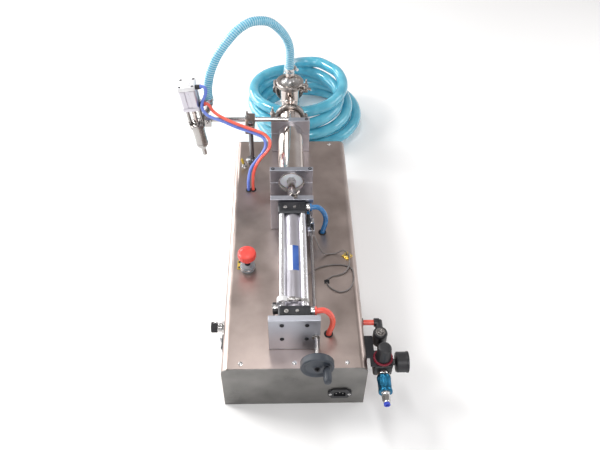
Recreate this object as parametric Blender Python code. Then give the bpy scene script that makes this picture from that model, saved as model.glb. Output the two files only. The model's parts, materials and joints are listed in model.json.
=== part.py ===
"""Semi-automatic piston liquid filler, built as separate sub-parts in metres, +Z up.

The origin is the centre of the cabinet's underside, on the table. X runs to the operator's
right, Y runs from the operator to the back, and lengths are given in millimetres through mm()
and at(), where at() counts Y from the cabinet's front face.
"""
import math

import bmesh
import bpy
from mathutils import Matrix, Vector

# Driving dimensions, millimetres
GAP = 0.3                  # between pieces that touch
CABINET_W = 300
CABINET_L = 724
CABINET_H = 140            # the cabinet's top face, which carries the machine
BEND_R = 16                # the cover's long bends
SHEET = 2
AXIS_Z = 202               # both cylinders share one centre line
PLATE_TOP = 241

FRONT_PLATE_Y = 47
MIDDLE_PLATE_Y = 389
CLAMP_FRONT_Y = 488
CLAMP_REAR_Y = 681
PLATE_T = 14

CAP_SIZE = 65              # air cylinder, 50 mm bore
BARREL_START = 91
BARREL_END = 353
AIR_BORE_R = 25
ROD_R = 10
ROD_BOSS_R = 20            # the rear cap's boss, which passes through the middle plate

TUBE_R = 31.75             # product cylinder, 60 mm bore
TUBE_BORE_R = 30
PISTON_Y = 497

FERRULE_Y = 753            # joint of product cylinder and tee
TEE_ARM = 66
TEE_Y = FERRULE_Y + TEE_ARM
TEE_TOP = AXIS_Z + TEE_ARM
TEE_END = TEE_Y + TEE_ARM

SCREW_X, SCREW_Z = 43.5, 185    # lead screw
SCREW_R = 4
WHEEL_R = 33.5

ESTOP = (-103, 267)
TOGGLE = (-124, 620)
POST = (-103, 643)
ARM_Y, ARM_Z = 679, 250.5
NOZZLE_X = -246            # where the nozzle's axis crosses the arm's height
NOZZLE_LEAN = math.radians(-6.5)
SIDE_Y, SIDE_Z = 124, 112  # pedal socket on the left wall
ROCKER_Y, ROCKER_Z = 83, 112
INLET_X, INLET_Z = 96.4, 43
REGULATOR = (185, 36)
ELBOW = (186, 97)
VALVE_Z = 100              # height of the regulator's ports
NEEDLE_REST = math.radians(45)

AIR_TUBE = 12              # outer diameters
THIN_TUBE = 8
CABLE = 3.2
OUTLET_HOSE = 23
SUCTION_HOSE = 33


def mm(*values):
    """Millimetres as a vector of metres."""
    return Vector(values) * 0.001


def at(x, y, z):
    """A place in metres, from millimetres with Y counted from the cabinet's front face."""
    return mm(x, y - CABINET_L / 2, z)


def material(name, colour, roughness, metallic=0.0):
    found = bpy.data.materials.get(name)
    if found:
        return found
    made = bpy.data.materials.new(name)
    made.use_nodes = True
    shader = made.node_tree.nodes["Principled BSDF"]
    shader.inputs["Base Color"].default_value = (*colour, 1.0)
    shader.inputs["Roughness"].default_value = roughness
    shader.inputs["Metallic"].default_value = metallic
    made.diffuse_color = (*colour, 1.0)
    return made


STAINLESS = ("brushed_stainless", (0.52, 0.49, 0.47), 0.38, 1.0)
POLISHED = ("polished_stainless", (0.72, 0.71, 0.70), 0.12, 1.0)
ALUMINIUM = ("machined_aluminium", (0.68, 0.69, 0.71), 0.35, 1.0)
ANODISED = ("anodised_barrel", (0.78, 0.79, 0.82), 0.28, 1.0)
BLACK = ("black_plastic", (0.02, 0.02, 0.022), 0.45)
DARK_CAP = ("dark_cast_cap", (0.045, 0.045, 0.05), 0.5, 0.4)
WHITE = ("white_ptfe", (0.86, 0.86, 0.9), 0.4)
RED = ("red_plastic", (0.75, 0.05, 0.04), 0.35)
GREY = ("grey_plastic", (0.4, 0.41, 0.43), 0.5)
CHROME = ("bright_nickel", (0.8, 0.8, 0.8), 0.15, 1.0)
VALVE_BLUE = ("blue_anodised", (0.05, 0.3, 0.5), 0.3, 0.8)
HOSE_BLUE = ("blue_hose", (0.2, 0.62, 0.78), 0.2)
TUBE_RED = ("red_tube", (0.85, 0.12, 0.1), 0.3)
TUBE_BLUE = ("blue_tube", (0.08, 0.25, 0.7), 0.3)
CABLE_GREY = ("grey_cable", (0.3, 0.3, 0.3), 0.5)
CIRCUIT = ("control_case", (0.25, 0.35, 0.28), 0.5)


def finish_mesh(name, bm, place, look, smooth=True):
    """An object with this bmesh as its mesh, at place, in world axes."""
    bmesh.ops.recalc_face_normals(bm, faces=bm.faces)
    mesh = bpy.data.meshes.new(name)
    bm.to_mesh(mesh)
    bm.free()
    if smooth:
        mesh.shade_smooth()
        mesh.set_sharp_from_angle(angle=math.radians(35))
    made = bpy.data.objects.new(name, mesh)
    made.location = place
    bpy.context.scene.collection.objects.link(made)
    if look:
        mesh.materials.append(material(*look))
    return made


def turn_to(axis):
    """The rotation that takes local Z to a named axis or a vector."""
    named = {"X": (1, 0, 0), "-X": (-1, 0, 0), "Y": (0, 1, 0), "-Y": (0, -1, 0),
             "Z": (0, 0, 1), "-Z": (0, 0, -1)}
    way = Vector(named.get(axis, axis) if isinstance(axis, str) else axis)
    return Vector((0, 0, 1)).rotation_difference(way.normalized()).to_matrix().to_4x4()


def box(name, low, high, place, look=None, bevel=0.0):
    """A box between two corners in millimetres from place, its edges bevelled."""
    low, high = mm(*low), mm(*high)
    bm = bmesh.new()
    bmesh.ops.create_cube(bm, size=1.0)
    size = high - low
    bmesh.ops.transform(bm, matrix=Matrix.Translation((low + high) / 2)
                        @ Matrix.Diagonal((*size, 1.0)), verts=bm.verts)
    if bevel:
        bmesh.ops.bevel(bm, geom=bm.edges[:], offset=bevel * 0.001, segments=1,
                        affect="EDGES", profile=0.5)
    return finish_mesh(name, bm, place, look)


def prism(name, outline, low, high, axis, place, look=None):
    """An outline in millimetres, extruded from low to high along X, Y or Z.

    The outline's two numbers are (Y, Z) for X, (X, Z) for Y and (X, Y) for Z."""
    def spot(u, v, w):
        return {"X": mm(w, u, v), "Y": mm(u, w, v), "Z": mm(u, v, w)}[axis]
    bm = bmesh.new()
    first = [bm.verts.new(spot(u, v, low)) for u, v in outline]
    last = [bm.verts.new(spot(u, v, high)) for u, v in outline]
    bm.faces.new(first)
    bm.faces.new(last[::-1])
    for i in range(len(outline)):
        j = (i + 1) % len(outline)
        bm.faces.new((first[i], last[i], last[j], first[j]))
    return finish_mesh(name, bm, place, look)


def turned(name, profile, place, look=None, axis="Z", segments=24, closed=False):
    """A profile of (radius, height) in millimetres, turned about axis through place.

    An open profile starts and ends on the axis; a closed one is a ring's section."""
    bm = bmesh.new()
    rings = []
    for radius, height in profile:
        if radius == 0:
            rings.append([bm.verts.new(mm(0, 0, height))])
        else:
            rings.append([bm.verts.new(mm(radius * math.cos(a), radius * math.sin(a), height))
                          for a in (2 * math.pi * i / segments for i in range(segments))])
    pairs = list(zip(rings, rings[1:])) + ([(rings[-1], rings[0])] if closed else [])
    for lower, upper in pairs:
        for i in range(segments if len(lower) + len(upper) > 2 else 0):
            j = (i + 1) % segments
            corners = [lower[i % len(lower)], lower[j % len(lower)],
                       upper[j % len(upper)], upper[i % len(upper)]]
            bm.faces.new(list(dict.fromkeys(corners)))
    bmesh.ops.transform(bm, matrix=turn_to(axis), verts=bm.verts)
    return finish_mesh(name, bm, place, look)


def rod(name, radius, start, end, place, look=None, axis="Z", segments=16):
    """A plain cylinder from start to end along axis."""
    return turned(name, [(0, start), (radius, start), (radius, end), (0, end)],
                  place, look, axis, segments)


def combine(target, operation, pieces):
    for piece in pieces:
        change = target.modifiers.new(piece.name, "BOOLEAN")
        change.operation = operation
        change.solver = "EXACT"
        change.object = piece
        piece.hide_render = True
        piece.display_type = "WIRE"
    return target


def cut(target, *pieces):
    return combine(target, "DIFFERENCE", pieces)


def fuse(target, *pieces):
    return combine(target, "UNION", pieces)


def settle_booleans():
    """Applies every Boolean and removes its operands, so each piece is one smooth-shaded mesh."""
    graph = bpy.context.evaluated_depsgraph_get()
    joined = [o for o in bpy.data.objects if o.modifiers]
    meshes = [bpy.data.meshes.new_from_object(o.evaluated_get(graph)) for o in joined]
    for piece, mesh in zip(joined, meshes):
        piece.modifiers.clear()
        piece.data = mesh
        mesh.name = piece.name
        mesh.shade_smooth()
        mesh.set_sharp_from_angle(angle=math.radians(35))
    for helper in [o for o in bpy.data.objects if o.type == "MESH" and o.hide_render]:
        bpy.data.objects.remove(helper, do_unlink=True)


def arc(cx, cy, radius, start, end, steps):
    """Points on an arc between two angles in degrees."""
    return [(cx + radius * math.cos(math.radians(a)), cy + radius * math.sin(math.radians(a)))
            for a in (start + (end - start) * i / steps for i in range(steps + 1))]


def smooth_route(points, spacing):
    """Points about spacing apart on a smooth curve through the given ones, in metres."""
    points = [Vector(p) for p in points]
    ends = [2 * points[0] - points[1]] + points + [2 * points[-1] - points[-2]]
    fine = []
    for a, b, c, d in zip(ends, ends[1:], ends[2:], ends[3:]):
        for i in range(24):
            t = i / 24
            fine.append(0.5 * (2 * b + (c - a) * t + (2 * a - 5 * b + 4 * c - d) * t * t
                               + (3 * b - a - 3 * c + d) * t ** 3))
    fine.append(points[-1])
    length = sum((q - p).length for p, q in zip(fine, fine[1:]))
    count = max(2, round(length / spacing))
    out, walked, want = [fine[0]], 0.0, length / count
    for p, q in zip(fine, fine[1:]):
        step = (q - p).length
        while step and walked + step >= want and len(out) < count:
            p = p.lerp(q, (want - walked) / step)
            step = (q - p).length
            walked = 0.0
            out.append(p)
        walked += step
    return out + [fine[-1]]


def tube_along(name, route, diameter, look, pitch=2.0):
    """A plain tube of this diameter along a smooth curve through the route, ends closed.

    Its rings are pitch diameters apart. A short step at each end keeps the end faces square
    to the route's first and last runs."""
    points = smooth_route(route, diameter * pitch * 0.001)
    step = diameter * 0.0003
    points.insert(1, points[0] + (route[1] - route[0]).normalized() * step)
    points.insert(-1, points[-1] + (route[-2] - route[-1]).normalized() * step)
    curve = bpy.data.curves.new(name, "CURVE")
    curve.dimensions = "3D"
    curve.bevel_depth = diameter * 0.0005
    curve.bevel_resolution = 2
    curve.use_fill_caps = True
    spline = curve.splines.new("POLY")
    spline.points.add(len(points) - 1)
    for target, point in zip(spline.points, points):
        target.co = (*point, 1.0)
    curve.materials.append(material(*look))
    made = bpy.data.objects.new(name, curve)
    bpy.context.scene.collection.objects.link(made)
    return made


def bent_pipe(name, route, radius, segments=12):
    """A solid round bar along a smooth curve, as a mesh that a Boolean can take."""
    points = smooth_route(route, radius * 0.0014)
    bm = bmesh.new()
    side = Vector((0, 1, 0))
    rings = []
    for i, point in enumerate(points):
        ahead = points[min(i + 1, len(points) - 1)] - points[max(i - 1, 0)]
        side = (side - side.project(ahead)).normalized()
        up = ahead.normalized().cross(side)
        rings.append([bm.verts.new(point + (side * math.cos(a) + up * math.sin(a))
                                   * radius * 0.001)
                      for a in (2 * math.pi * k / segments for k in range(segments))])
    for first, last in zip(rings, rings[1:]):
        for i in range(segments):
            j = (i + 1) % segments
            bm.faces.new((first[i], first[j], last[j], last[i]))
    bm.faces.new(rings[0][::-1])
    bm.faces.new(rings[-1])
    return finish_mesh(name, bm, Vector((0, 0, 0)), None)


def hold(parent_place, *children, lean=0.0):
    """Parents pieces to an empty on a joint's axis, which leans about Y and carries them."""
    empty = bpy.data.objects.new("axis_" + children[0].name, None)
    empty.location = parent_place
    empty.rotation_euler = (0, lean, 0)
    bpy.context.scene.collection.objects.link(empty)
    for child in children:
        child.parent = empty


# Cabinet

def panel_outline(half, top, radius, low):
    """The cabinet's cross-section: square below, rounded above."""
    return ([(-half, low), (half, low)]
            + arc(half - radius, top - radius, radius, 0, 90, 6)
            + arc(radius - half, top - radius, radius, 90, 180, 6))


def chassis_tray():
    half = CABINET_W / 2
    outline = panel_outline(half, CABINET_H, BEND_R, 0)
    tray = prism("chassis_tray", outline, 0, SHEET, "Y", at(0, 0, 0), STAINLESS)
    rear = prism("tray_rear", outline, CABINET_L - SHEET, CABINET_L, "Y", at(0, 0, 0))
    inside = half - SHEET - GAP
    base = box("tray_base", (-inside, SHEET / 2, 0), (inside, CABINET_L - SHEET / 2, SHEET),
               at(0, 0, 0))
    flange_low, flange_high = CABINET_H - SHEET - 2.7, CABINET_H - SHEET - 0.7
    flanges = [box("tray_flange_" + end, (-125, low, flange_low), (125, high, flange_high),
                   at(0, 0, 0))
               for end, low, high in (("front", 1, 20),
                                      ("rear", CABINET_L - 20, CABINET_L - 1))]
    fuse(tray, rear, base, *flanges)
    slot = box("cut_inlet", (INLET_X - 24, -5, INLET_Z - 14), (INLET_X + 24, 5, INLET_Z + 14),
               at(0, 0, 0))
    return cut(tray, slot)


def cabinet_cover():
    half, top = CABINET_W / 2, CABINET_H
    inner = half - SHEET
    outline = ([(-half, 0.6), (-inner, 0.6)]
               + arc(BEND_R - half, top - BEND_R, BEND_R - SHEET, 180, 90, 6)
               + arc(half - BEND_R, top - BEND_R, BEND_R - SHEET, 90, 0, 6)
               + [(inner, 0.6), (half, 0.6)]
               + arc(half - BEND_R, top - BEND_R, BEND_R, 0, 90, 6)
               + arc(BEND_R - half, top - BEND_R, BEND_R, 90, 180, 6))
    cover = prism("cabinet_cover", outline, SHEET + GAP, CABINET_L - SHEET - GAP, "Y",
                  at(0, 0, 0), STAINLESS)
    holes = [(*ESTOP, 11.4), (*TOGGLE, 6.1), (-109, 527, 5.8), (-97.5, 529, 5.8),
             (73, 84, 7.5), (73.4, 377, 7.5)]
    cutters = [rod(f"cut_top_{i}", r, -6, 6, at(x, y, top), segments=16)
               for i, (x, y, r) in enumerate(holes)]
    cutters.append(rod("cut_socket", 8.1, -6, 6, at(-half, SIDE_Y, SIDE_Z), axis="X"))
    cutters.append(box("cut_rocker", (-6, -14, -6.6), (6, 14, 6.6),
                       at(-half, ROCKER_Y, ROCKER_Z)))
    cutters.append(rod("cut_side_tube", 7.5, -6, 6, at(half, 130, 114), axis="X"))
    cut(cover, *cutters)
    return fuse(cover, rod("cable_gland", 7, -1, 6, at(128, 300, top), segments=12))


def internals():
    """The valve island and the timer unit that stand on the tray inside."""
    floor = SHEET + GAP
    valves = box("solenoid_valve", (-55, -22, 0), (55, 22, 24), at(-20, 455, floor),
                 ALUMINIUM, 1)
    fuse(valves, *[box(f"valve_{i}", (x - 10, -46, 20), (x + 10, 46, 48), at(-20, 455, floor),
                       bevel=1) for i, x in enumerate((-35, 0, 35))])
    case = box("control_box", (-65, -45, 0), (65, 45, 42), at(0, 200, floor), CIRCUIT, 1.5)
    fuse(case, *[box(f"terminals_{i}", (-55, y - 6, 40), (55, y + 6, 52), at(0, 200, floor),
                     bevel=0.8) for i, y in enumerate((-33, 33))])


# Controls

def emergency_stop():
    x, y = ESTOP
    top = CABINET_H
    place = at(x, y, top)
    turned("estop_base", [(6.5, -36), (15, -36), (15, -12), (11, -12), (11, GAP), (17, GAP),
                          (17, 10), (15.5, 16), (6.5, 16)], place, GREY, closed=True)
    rod("estop_plunger", 6.2, -28, 40.7, place, BLACK, segments=16)
    turned("estop_head", [(0, 41.3), (6.5, 41.3), (6.5, 28.3), (12, 28.3), (12, 37),
                          (19, 39), (21, 47), (20.6, 52), (17, 56), (10.5, 57.6), (0, 58)],
           place, RED)


def toggle_switch():
    place = at(*TOGGLE, CABINET_H)
    turned("toggle_base", [(0, -28), (9, -28), (9, -6), (5.7, -6), (5.7, GAP), (8, GAP),
                           (8, 4), (5.7, 4), (5.7, 8), (3.6, 8), (3.6, -7), (0, -7)],
           place, CHROME, segments=16)
    lever = turned("toggle_lever", [(0, -5.5), (1.5, -5.5), (1.5, 9), (3, 20), (2.4, 24),
                                    (0, 25.5)], place + mm(0, 0, 1), WHITE, segments=12)
    lever.rotation_euler = (0, math.radians(-12), 0)


def power_inlet():
    place = at(INLET_X, 0, INLET_Z)
    outline = [(-25, -5), (-21, -9), (-17, -16.5), (17, -16.5), (21, -9), (25, -5), (25, 5),
               (21, 9), (15, 17.5), (-15, 17.5), (-21, 9), (-25, 5)]
    inlet = prism("power_inlet", outline, -3.5, -GAP, "Y", place, BLACK)
    fuse(inlet, box("inlet_body", (-23.4, -1, -13.4), (23.4, 26, 13.4), place))
    recess = [(-12.5, -8.5), (12.5, -8.5), (12.5, 4), (8.5, 8.5), (-8.5, 8.5), (-12.5, 4)]
    cut(inlet, prism("cut_recess", recess, -6, 14, "Y", place))
    pins = [box(f"inlet_pin_{i}", (x - 1, 3, z - 2), (x + 1, 16, z + 2), place)
            for i, (x, z) in enumerate(((-7, -2), (0, 2.5), (7, -2)))]
    fuse(inlet, *pins)


def rocker_switch():
    half = CABINET_W / 2
    place = at(-half, ROCKER_Y, ROCKER_Z)
    frame = box("rocker_frame", (-3, -16.5, -9.5), (-GAP, 16.5, 9.5), place, BLACK, 0.8)
    fuse(frame, box("rocker_body", (-1, -13.6, -6.2), (22, 13.6, 6.2), place))
    cut(frame, box("cut_rocker_well", (-6, -12.6, -5.4), (10, 12.6, 5.4), place))
    outline = [(3, -3), (3, 3), (-5.5, 12), (-7.5, 12), (-4.2, 0), (-7.5, -12), (-5.5, -12)]
    paddle = prism("rocker_paddle", outline, -5, 5, "Z", place + mm(0.5, 0, 0), GREY)
    paddle.rotation_euler = (0, 0, math.radians(8))


def pedal_socket():
    place = at(-CABINET_W / 2, SIDE_Y, SIDE_Z)
    turned("pedal_socket", [(0, -16), (7.8, -16), (7.8, GAP), (10.6, GAP), (10.6, 5),
                            (9.6, 5.4), (9.6, 15), (10.8, 15), (11.4, 16), (11.4, 28),
                            (10.4, 29), (0, 29)], place, CHROME, axis="-X", segments=20)


# Plates that carry the two cylinders

def mount_plate(name, half_width, y, thick, top):
    return box(name, (-half_width, 0, CABINET_H + GAP), (half_width, thick, top),
               at(0, y, 0), ALUMINIUM, 0.6)


def front_mount_plate():
    plate = mount_plate("front_mount_plate", 52, FRONT_PLATE_Y, PLATE_T, PLATE_TOP)
    bolts = [(sx * 25, AXIS_Z + sz * 23.5, 3.6) for sx in (-1, 1) for sz in (-1, 1)]
    cut(plate, *[rod(f"cut_front_{i}", r, -5, PLATE_T + 5, at(x, FRONT_PLATE_Y, z), axis="Y",
                     segments=12)
                 for i, (x, z, r) in enumerate(bolts + [(SCREW_X, SCREW_Z, SCREW_R + GAP)])])


def middle_mount_plate():
    plate = mount_plate("middle_mount_plate", 50, MIDDLE_PLATE_Y, PLATE_T, PLATE_TOP - 1)
    cut(plate,
        rod("cut_boss", ROD_BOSS_R + GAP, -5, PLATE_T + 5, at(0, MIDDLE_PLATE_Y, AXIS_Z), axis="Y",
            segments=24),
        rod("cut_middle_screw", SCREW_R + GAP, -5, PLATE_T + 5,
            at(SCREW_X, MIDDLE_PLATE_Y, SCREW_Z), axis="Y", segments=12))


def cylinder_clamp(name, half_width, y, thick, top):
    """A plate split at the centre line, which grips the product cylinder."""
    bore = TUBE_R + GAP
    low, high = CABINET_H + GAP, AXIS_Z - GAP / 2
    lower = box(name + "_lower", (-half_width, 0, low), (half_width, thick, high),
                at(0, y, 0), ALUMINIUM, 0.6)
    upper = box(name + "_upper", (-half_width, 0, high + GAP), (half_width, thick, top),
                at(0, y, 0), ALUMINIUM, 0.6)
    for part in (lower, upper):
        cut(part, rod("cut_" + part.name, bore, -5, thick + 5, at(0, y, AXIS_Z), axis="Y",
                      segments=32))


# Air cylinder

def air_cylinder():
    half = CAP_SIZE / 2
    start = FRONT_PLATE_Y + PLATE_T + GAP
    port_z = 24
    front = box("air_cylinder_front_cap", (-half, start, -half), (half, BARREL_START, half),
                at(0, 0, AXIS_Z), DARK_CAP, 3)
    fuse(front, rod("front_port", 8, half - 2, half + 11, at(0, 82, AXIS_Z + port_z),
                    axis="X", segments=12))
    rear = box("air_cylinder_rear_cap", (-half, BARREL_END, -half),
               (half, MIDDLE_PLATE_Y - GAP, half), at(0, 0, AXIS_Z), DARK_CAP, 3)
    fuse(rear, rod("rear_port", 8, half - 2, half + 11, at(0, 377, AXIS_Z + port_z),
                   axis="X", segments=12),
         rod("rear_boss", ROD_BOSS_R, MIDDLE_PLATE_Y - 2, MIDDLE_PLATE_Y + PLATE_T + 2,
             at(0, 0, AXIS_Z), axis="Y", segments=24))
    cut(rear, rod("cut_rod_bore", ROD_R + GAP, BARREL_END - 5, MIDDLE_PLATE_Y + PLATE_T + 9,
                  at(0, 0, AXIS_Z), axis="Y", segments=24))
    first, last = BARREL_START + GAP, BARREL_END - GAP
    barrel = rod("air_cylinder_barrel", 28, first, last, at(0, 0, AXIS_Z), ANODISED,
                 axis="Y", segments=32)
    fuse(barrel, *[rod(f"ear_{i}", 7, first, last,
                       at(sx * 23.5, 0, AXIS_Z + sz * 23.5), axis="Y", segments=16)
                   for i, (sx, sz) in enumerate(((-1, -1), (1, -1), (1, 1), (-1, 1)))])
    cut(barrel, rod("cut_air_bore", AIR_BORE_R, first - 5, last + 5, at(0, 0, AXIS_Z),
                    axis="Y", segments=24))


def piston_and_rod():
    """The air piston and its rod, one screwed assembly, and the white product piston."""
    turned("piston_rod", [(0, 94), (AIR_BORE_R - GAP, 94), (AIR_BORE_R - GAP, 120),
                          (ROD_R, 120), (ROD_R, PISTON_Y - GAP), (0, PISTON_Y - GAP)],
           at(0, 0, AXIS_Z), POLISHED, axis="Y", segments=24)
    turned("product_piston", [(0, PISTON_Y), (TUBE_BORE_R - GAP, PISTON_Y),
                              (TUBE_BORE_R - GAP, PISTON_Y + 26), (0, PISTON_Y + 26)],
           at(0, 0, AXIS_Z), WHITE, axis="Y", segments=32)


def product_cylinder():
    turned("product_cylinder",
           [(TUBE_BORE_R, 486), (TUBE_R, 486), (TUBE_R, FERRULE_Y - 5),
            (36, FERRULE_Y - 4.5), (36, FERRULE_Y - GAP / 2), (TUBE_BORE_R, FERRULE_Y - GAP / 2)],
           at(0, 0, AXIS_Z), POLISHED, axis="Y", segments=32, closed=True)


def clamp_ring(name, place, axis, flange, neck, outer):
    """A sanitary clamp's two half rings as one grooved ring, over the flanges of a joint."""
    return turned(name, [(neck, -7.5), (outer, -7.5), (outer, 7.5), (neck, 7.5), (neck, 5.3),
                         (flange + 0.8, 5), (flange + 0.8, -5), (neck, -5.3)],
                  place, STAINLESS, axis=axis, closed=True)


def upright_lugs(place, outer):
    """Hinge on the right, and lug, bolt and wing nut on the left, for a ring about Y."""
    return (box("upright_hinge", (outer - 3, -5.5, -9), (outer + 7, 5.5, 9), place),
            box("upright_lug", (-outer - 12, -5.5, -10), (3 - outer, 5.5, 10), place),
            rod("upright_bolt", 3.2, -14, 26, place + mm(-outer - 7, 0, 0), segments=10),
            box("upright_wing", (-outer - 9, -13, 15), (-outer - 5, 13, 24), place))


def level_lugs(place, outer):
    """Hinge on the left, and lug, bolt and wing nut at the front right, for a ring about Z."""
    return (box("level_hinge", (-outer - 7, -9, -5.5), (3 - outer, 9, 5.5), place),
            box("level_lug", (outer - 5, -22, -5.5), (outer + 9, -8, 5.5), place),
            rod("level_bolt", 3.2, -10, 22, place + mm(outer + 4, -18, 0), axis="-Y",
                segments=10),
            box("level_wing", (outer + 2, -38, -12), (outer + 6, -30, 12), place))


def valve_group():
    """The tee behind the cylinder, its check balls, hose tails and clamps."""
    tube_r, bore_r = 25.4, 23.9
    flange = 4.5
    tee = turned("valve_tee",
                 [(0, FERRULE_Y + GAP / 2), (36, FERRULE_Y + GAP / 2),
                  (36, FERRULE_Y + flange), (31.5, FERRULE_Y + 5), (tube_r, FERRULE_Y + 9),
                  (tube_r, TEE_END - flange), (32, TEE_END - flange),
                  (32, TEE_END - GAP / 2), (0, TEE_END - GAP / 2)],
                 at(0, 0, AXIS_Z), POLISHED, axis="Y", segments=24)
    fuse(tee, turned("tee_riser", [(0, AXIS_Z), (tube_r, AXIS_Z), (tube_r, TEE_TOP - flange),
                                   (32, TEE_TOP - flange), (32, TEE_TOP - GAP / 2),
                                   (0, TEE_TOP - GAP / 2)],
                     at(0, TEE_Y, 0), axis="Z", segments=32))
    seat_z, seat_y = 238, TEE_END - 28
    cut(tee,
        rod("cut_run", bore_r, FERRULE_Y - 5, seat_y, at(0, 0, AXIS_Z), axis="Y", segments=24),
        rod("cut_run_seat", 10, seat_y - 5, TEE_END + 5, at(0, 0, AXIS_Z), axis="Y",
            segments=24),
        rod("cut_riser", bore_r, seat_z, TEE_TOP + 5, at(0, TEE_Y, 0), segments=24),
        rod("cut_riser_seat", 10, AXIS_Z, seat_z + 5, at(0, TEE_Y, 0), segments=24))
    ball_r, sunk = 13, 8.6
    sphere = [(ball_r * math.sin(math.radians(a)), -ball_r * math.cos(math.radians(a)))
              for a in range(0, 181, 20)]
    sphere = [(0, -ball_r)] + sphere[1:-1] + [(0, ball_r)]
    turned("outlet_valve_ball", sphere, at(0, TEE_Y, seat_z + sunk), POLISHED, segments=16)
    turned("inlet_valve_ball", sphere, at(0, seat_y - sunk, AXIS_Z), POLISHED, axis="Y",
           segments=16)

    place = at(0, FERRULE_Y, AXIS_Z)
    fuse(clamp_ring("tri_clamp_cylinder", place, "Y", 36, 32.2, 41), *upright_lugs(place, 41))
    place = at(0, TEE_Y, TEE_TOP)
    fuse(clamp_ring("tri_clamp_outlet", place, "Z", 32, 26, 37.5), *level_lugs(place, 37.5))

    turned("outlet_barb", [(7.5, TEE_TOP + GAP / 2), (32, TEE_TOP + GAP / 2),
                           (32, TEE_TOP + flange), (15, TEE_TOP + flange + 1),
                           (9.6, TEE_TOP + 14), (9.6, 303), (7.5, 303)],
           at(0, TEE_Y, 0), POLISHED, segments=24, closed=True)
    turned("inlet_barb", [(11, TEE_END + GAP / 2), (36, TEE_END + GAP / 2), (36, TEE_END + 15),
                          (20, TEE_END + 18), (13.6, TEE_END + 26), (13.6, TEE_END + 62),
                          (11, TEE_END + 62)],
           at(0, 0, AXIS_Z), POLISHED, axis="Y", segments=24, closed=True)


# Nozzle, its arm and its post

def nozzle():
    """The shut-off nozzle, built along its own axis and then leant."""
    place = Vector((0, 0, 0))
    body = turned("nozzle_body",
                  [(4.2, -116), (6, -116), (6, -94), (16, -80), (16, -21), (21, -21),
                   (21, -9), (5.4, -9), (5.4, -26), (12, -30), (12, -82), (4.2, -92)],
                  place, STAINLESS, segments=24, closed=True)
    posts = [rod(f"yoke_{i}", 4.6, -12, 40, place + mm(x, 0, 0), segments=10)
             for i, x in enumerate((-16, 16))]
    stem = turned("nozzle_stem", [(0, -91.5), (3.4, -90.5), (9, -83.5), (9, -78), (3.5, -74),
                                  (3.5, -30), (5, -27), (5, 70), (0, 70)],
                  place, POLISHED, segments=16)
    actuator = box("nozzle_actuator", (-21.5, -21.5, 40.3), (21.5, 21.5, 113), place, ANODISED,
                   1.5)
    ports = [rod(f"actuator_port_{i}", 5.5, 20, 33, place + mm(0, -8, z), axis="X",
                 segments=10) for i, z in enumerate((52, 104))]
    bore = rod("cut_actuator", 5.4, 30, 82, place, segments=16)
    fuse(actuator, *ports)
    cut(actuator, bore)
    hold(at(NOZZLE_X, ARM_Y, ARM_Z), body, stem, actuator, *posts, *ports, bore,
         lean=NOZZLE_LEAN)
    fuse(body, *posts)
    fuse(body, bent_pipe("nozzle_inlet_pipe",
                         [at(-241, 688, 212), at(-234, 702, 226), at(-226, 706, 248),
                          at(-215, 706, 266), at(-211, 705, 280), at(-211, 705, 288)], 9))


def arm_and_post():
    arm = rod("nozzle_arm", 6, -214, -5, at(0, ARM_Y, ARM_Z), STAINLESS, axis="X", segments=16)
    fuse(arm, box("nozzle_holder", (-222.6, -11, -15), (-206, 11, 10),
                  at(0, ARM_Y, ARM_Z), bevel=1))
    x, y = POST
    clamp = box("cross_clamp", (-117, 632, ARM_Z - 12), (-93, 691, ARM_Z + 12),
                at(0, 0, 0), ALUMINIUM, 2)
    fuse(clamp, rod("clamp_bolt", 2.6, 214, 284, at(-112, 669, 0), segments=8))
    cut(clamp,
        rod("cut_arm_hole", 6 + GAP, -130, -80, at(0, ARM_Y, ARM_Z), axis="X"),
        rod("cut_post_hole", 6 + GAP, 220, 290, at(x, y, 0)))
    low = CABINET_H + GAP
    turned("arm_post", [(0, low), (17, low), (17, low + 5), (6, low + 5), (6, 270), (0, 270)],
           at(x, y, 0), STAINLESS, segments=16)


# Air preparation on the right wall

def regulator():
    x, y = REGULATOR
    place = at(x, y, 0)
    body = box("regulator_body", (-20, -20, 82), (20, 20, 116), place, BLACK, 3)
    fuse(body,
         turned("regulator_bonnet", [(0, 100), (17, 100), (17, 124), (0, 124)], place,
                segments=20),
         turned("regulator_bottom", [(0, 90), (15, 90), (15, 72), (11, 68), (0, 68)], place,
                segments=20))
    wall = CABINET_W / 2
    plate = box("regulator_bracket", (wall + GAP, 37, 117), (168, 92, 120), at(0, 0, 0),
                STAINLESS)
    leg = box("bracket_leg", (wall + GAP, 37, 84), (wall + 2.3, 92, 119), at(0, 0, 0))
    tongue = box("bracket_tongue", (wall + 8, 17, 117), (205, 55, 120), at(0, 0, 0))
    fuse(plate, leg, tongue)
    cut(plate, rod("cut_bonnet", 17 + GAP, 110, 130, place, segments=20))
    turned("regulator_knob", [(0, 124 + GAP), (15.5, 124 + GAP), (15.5, 128), (14.6, 158),
                              (12.5, 161.5), (0, 162)], place, BLACK, segments=20)


def pressure_gauge():
    x, y = REGULATOR
    place = at(0, y, 104)
    turned("pressure_gauge",
           [(0, x + 20 + GAP), (5, x + 20 + GAP), (5, 212), (21.5, 213), (21.5, 239),
            (18.5, 239), (18.5, 235.5), (0, 235.5)], place, BLACK, axis="X", segments=28)
    needle = box("gauge_needle", (236, -0.8, -4), (236.8, 0.8, 15), place, BLACK)
    hub = rod("needle_hub", 2.6, 235.8, 237.6, place, axis="X", segments=10)
    for piece in (needle, hub):
        piece.rotation_euler = (NEEDLE_REST, 0, 0)
    fuse(needle, hub)


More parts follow.
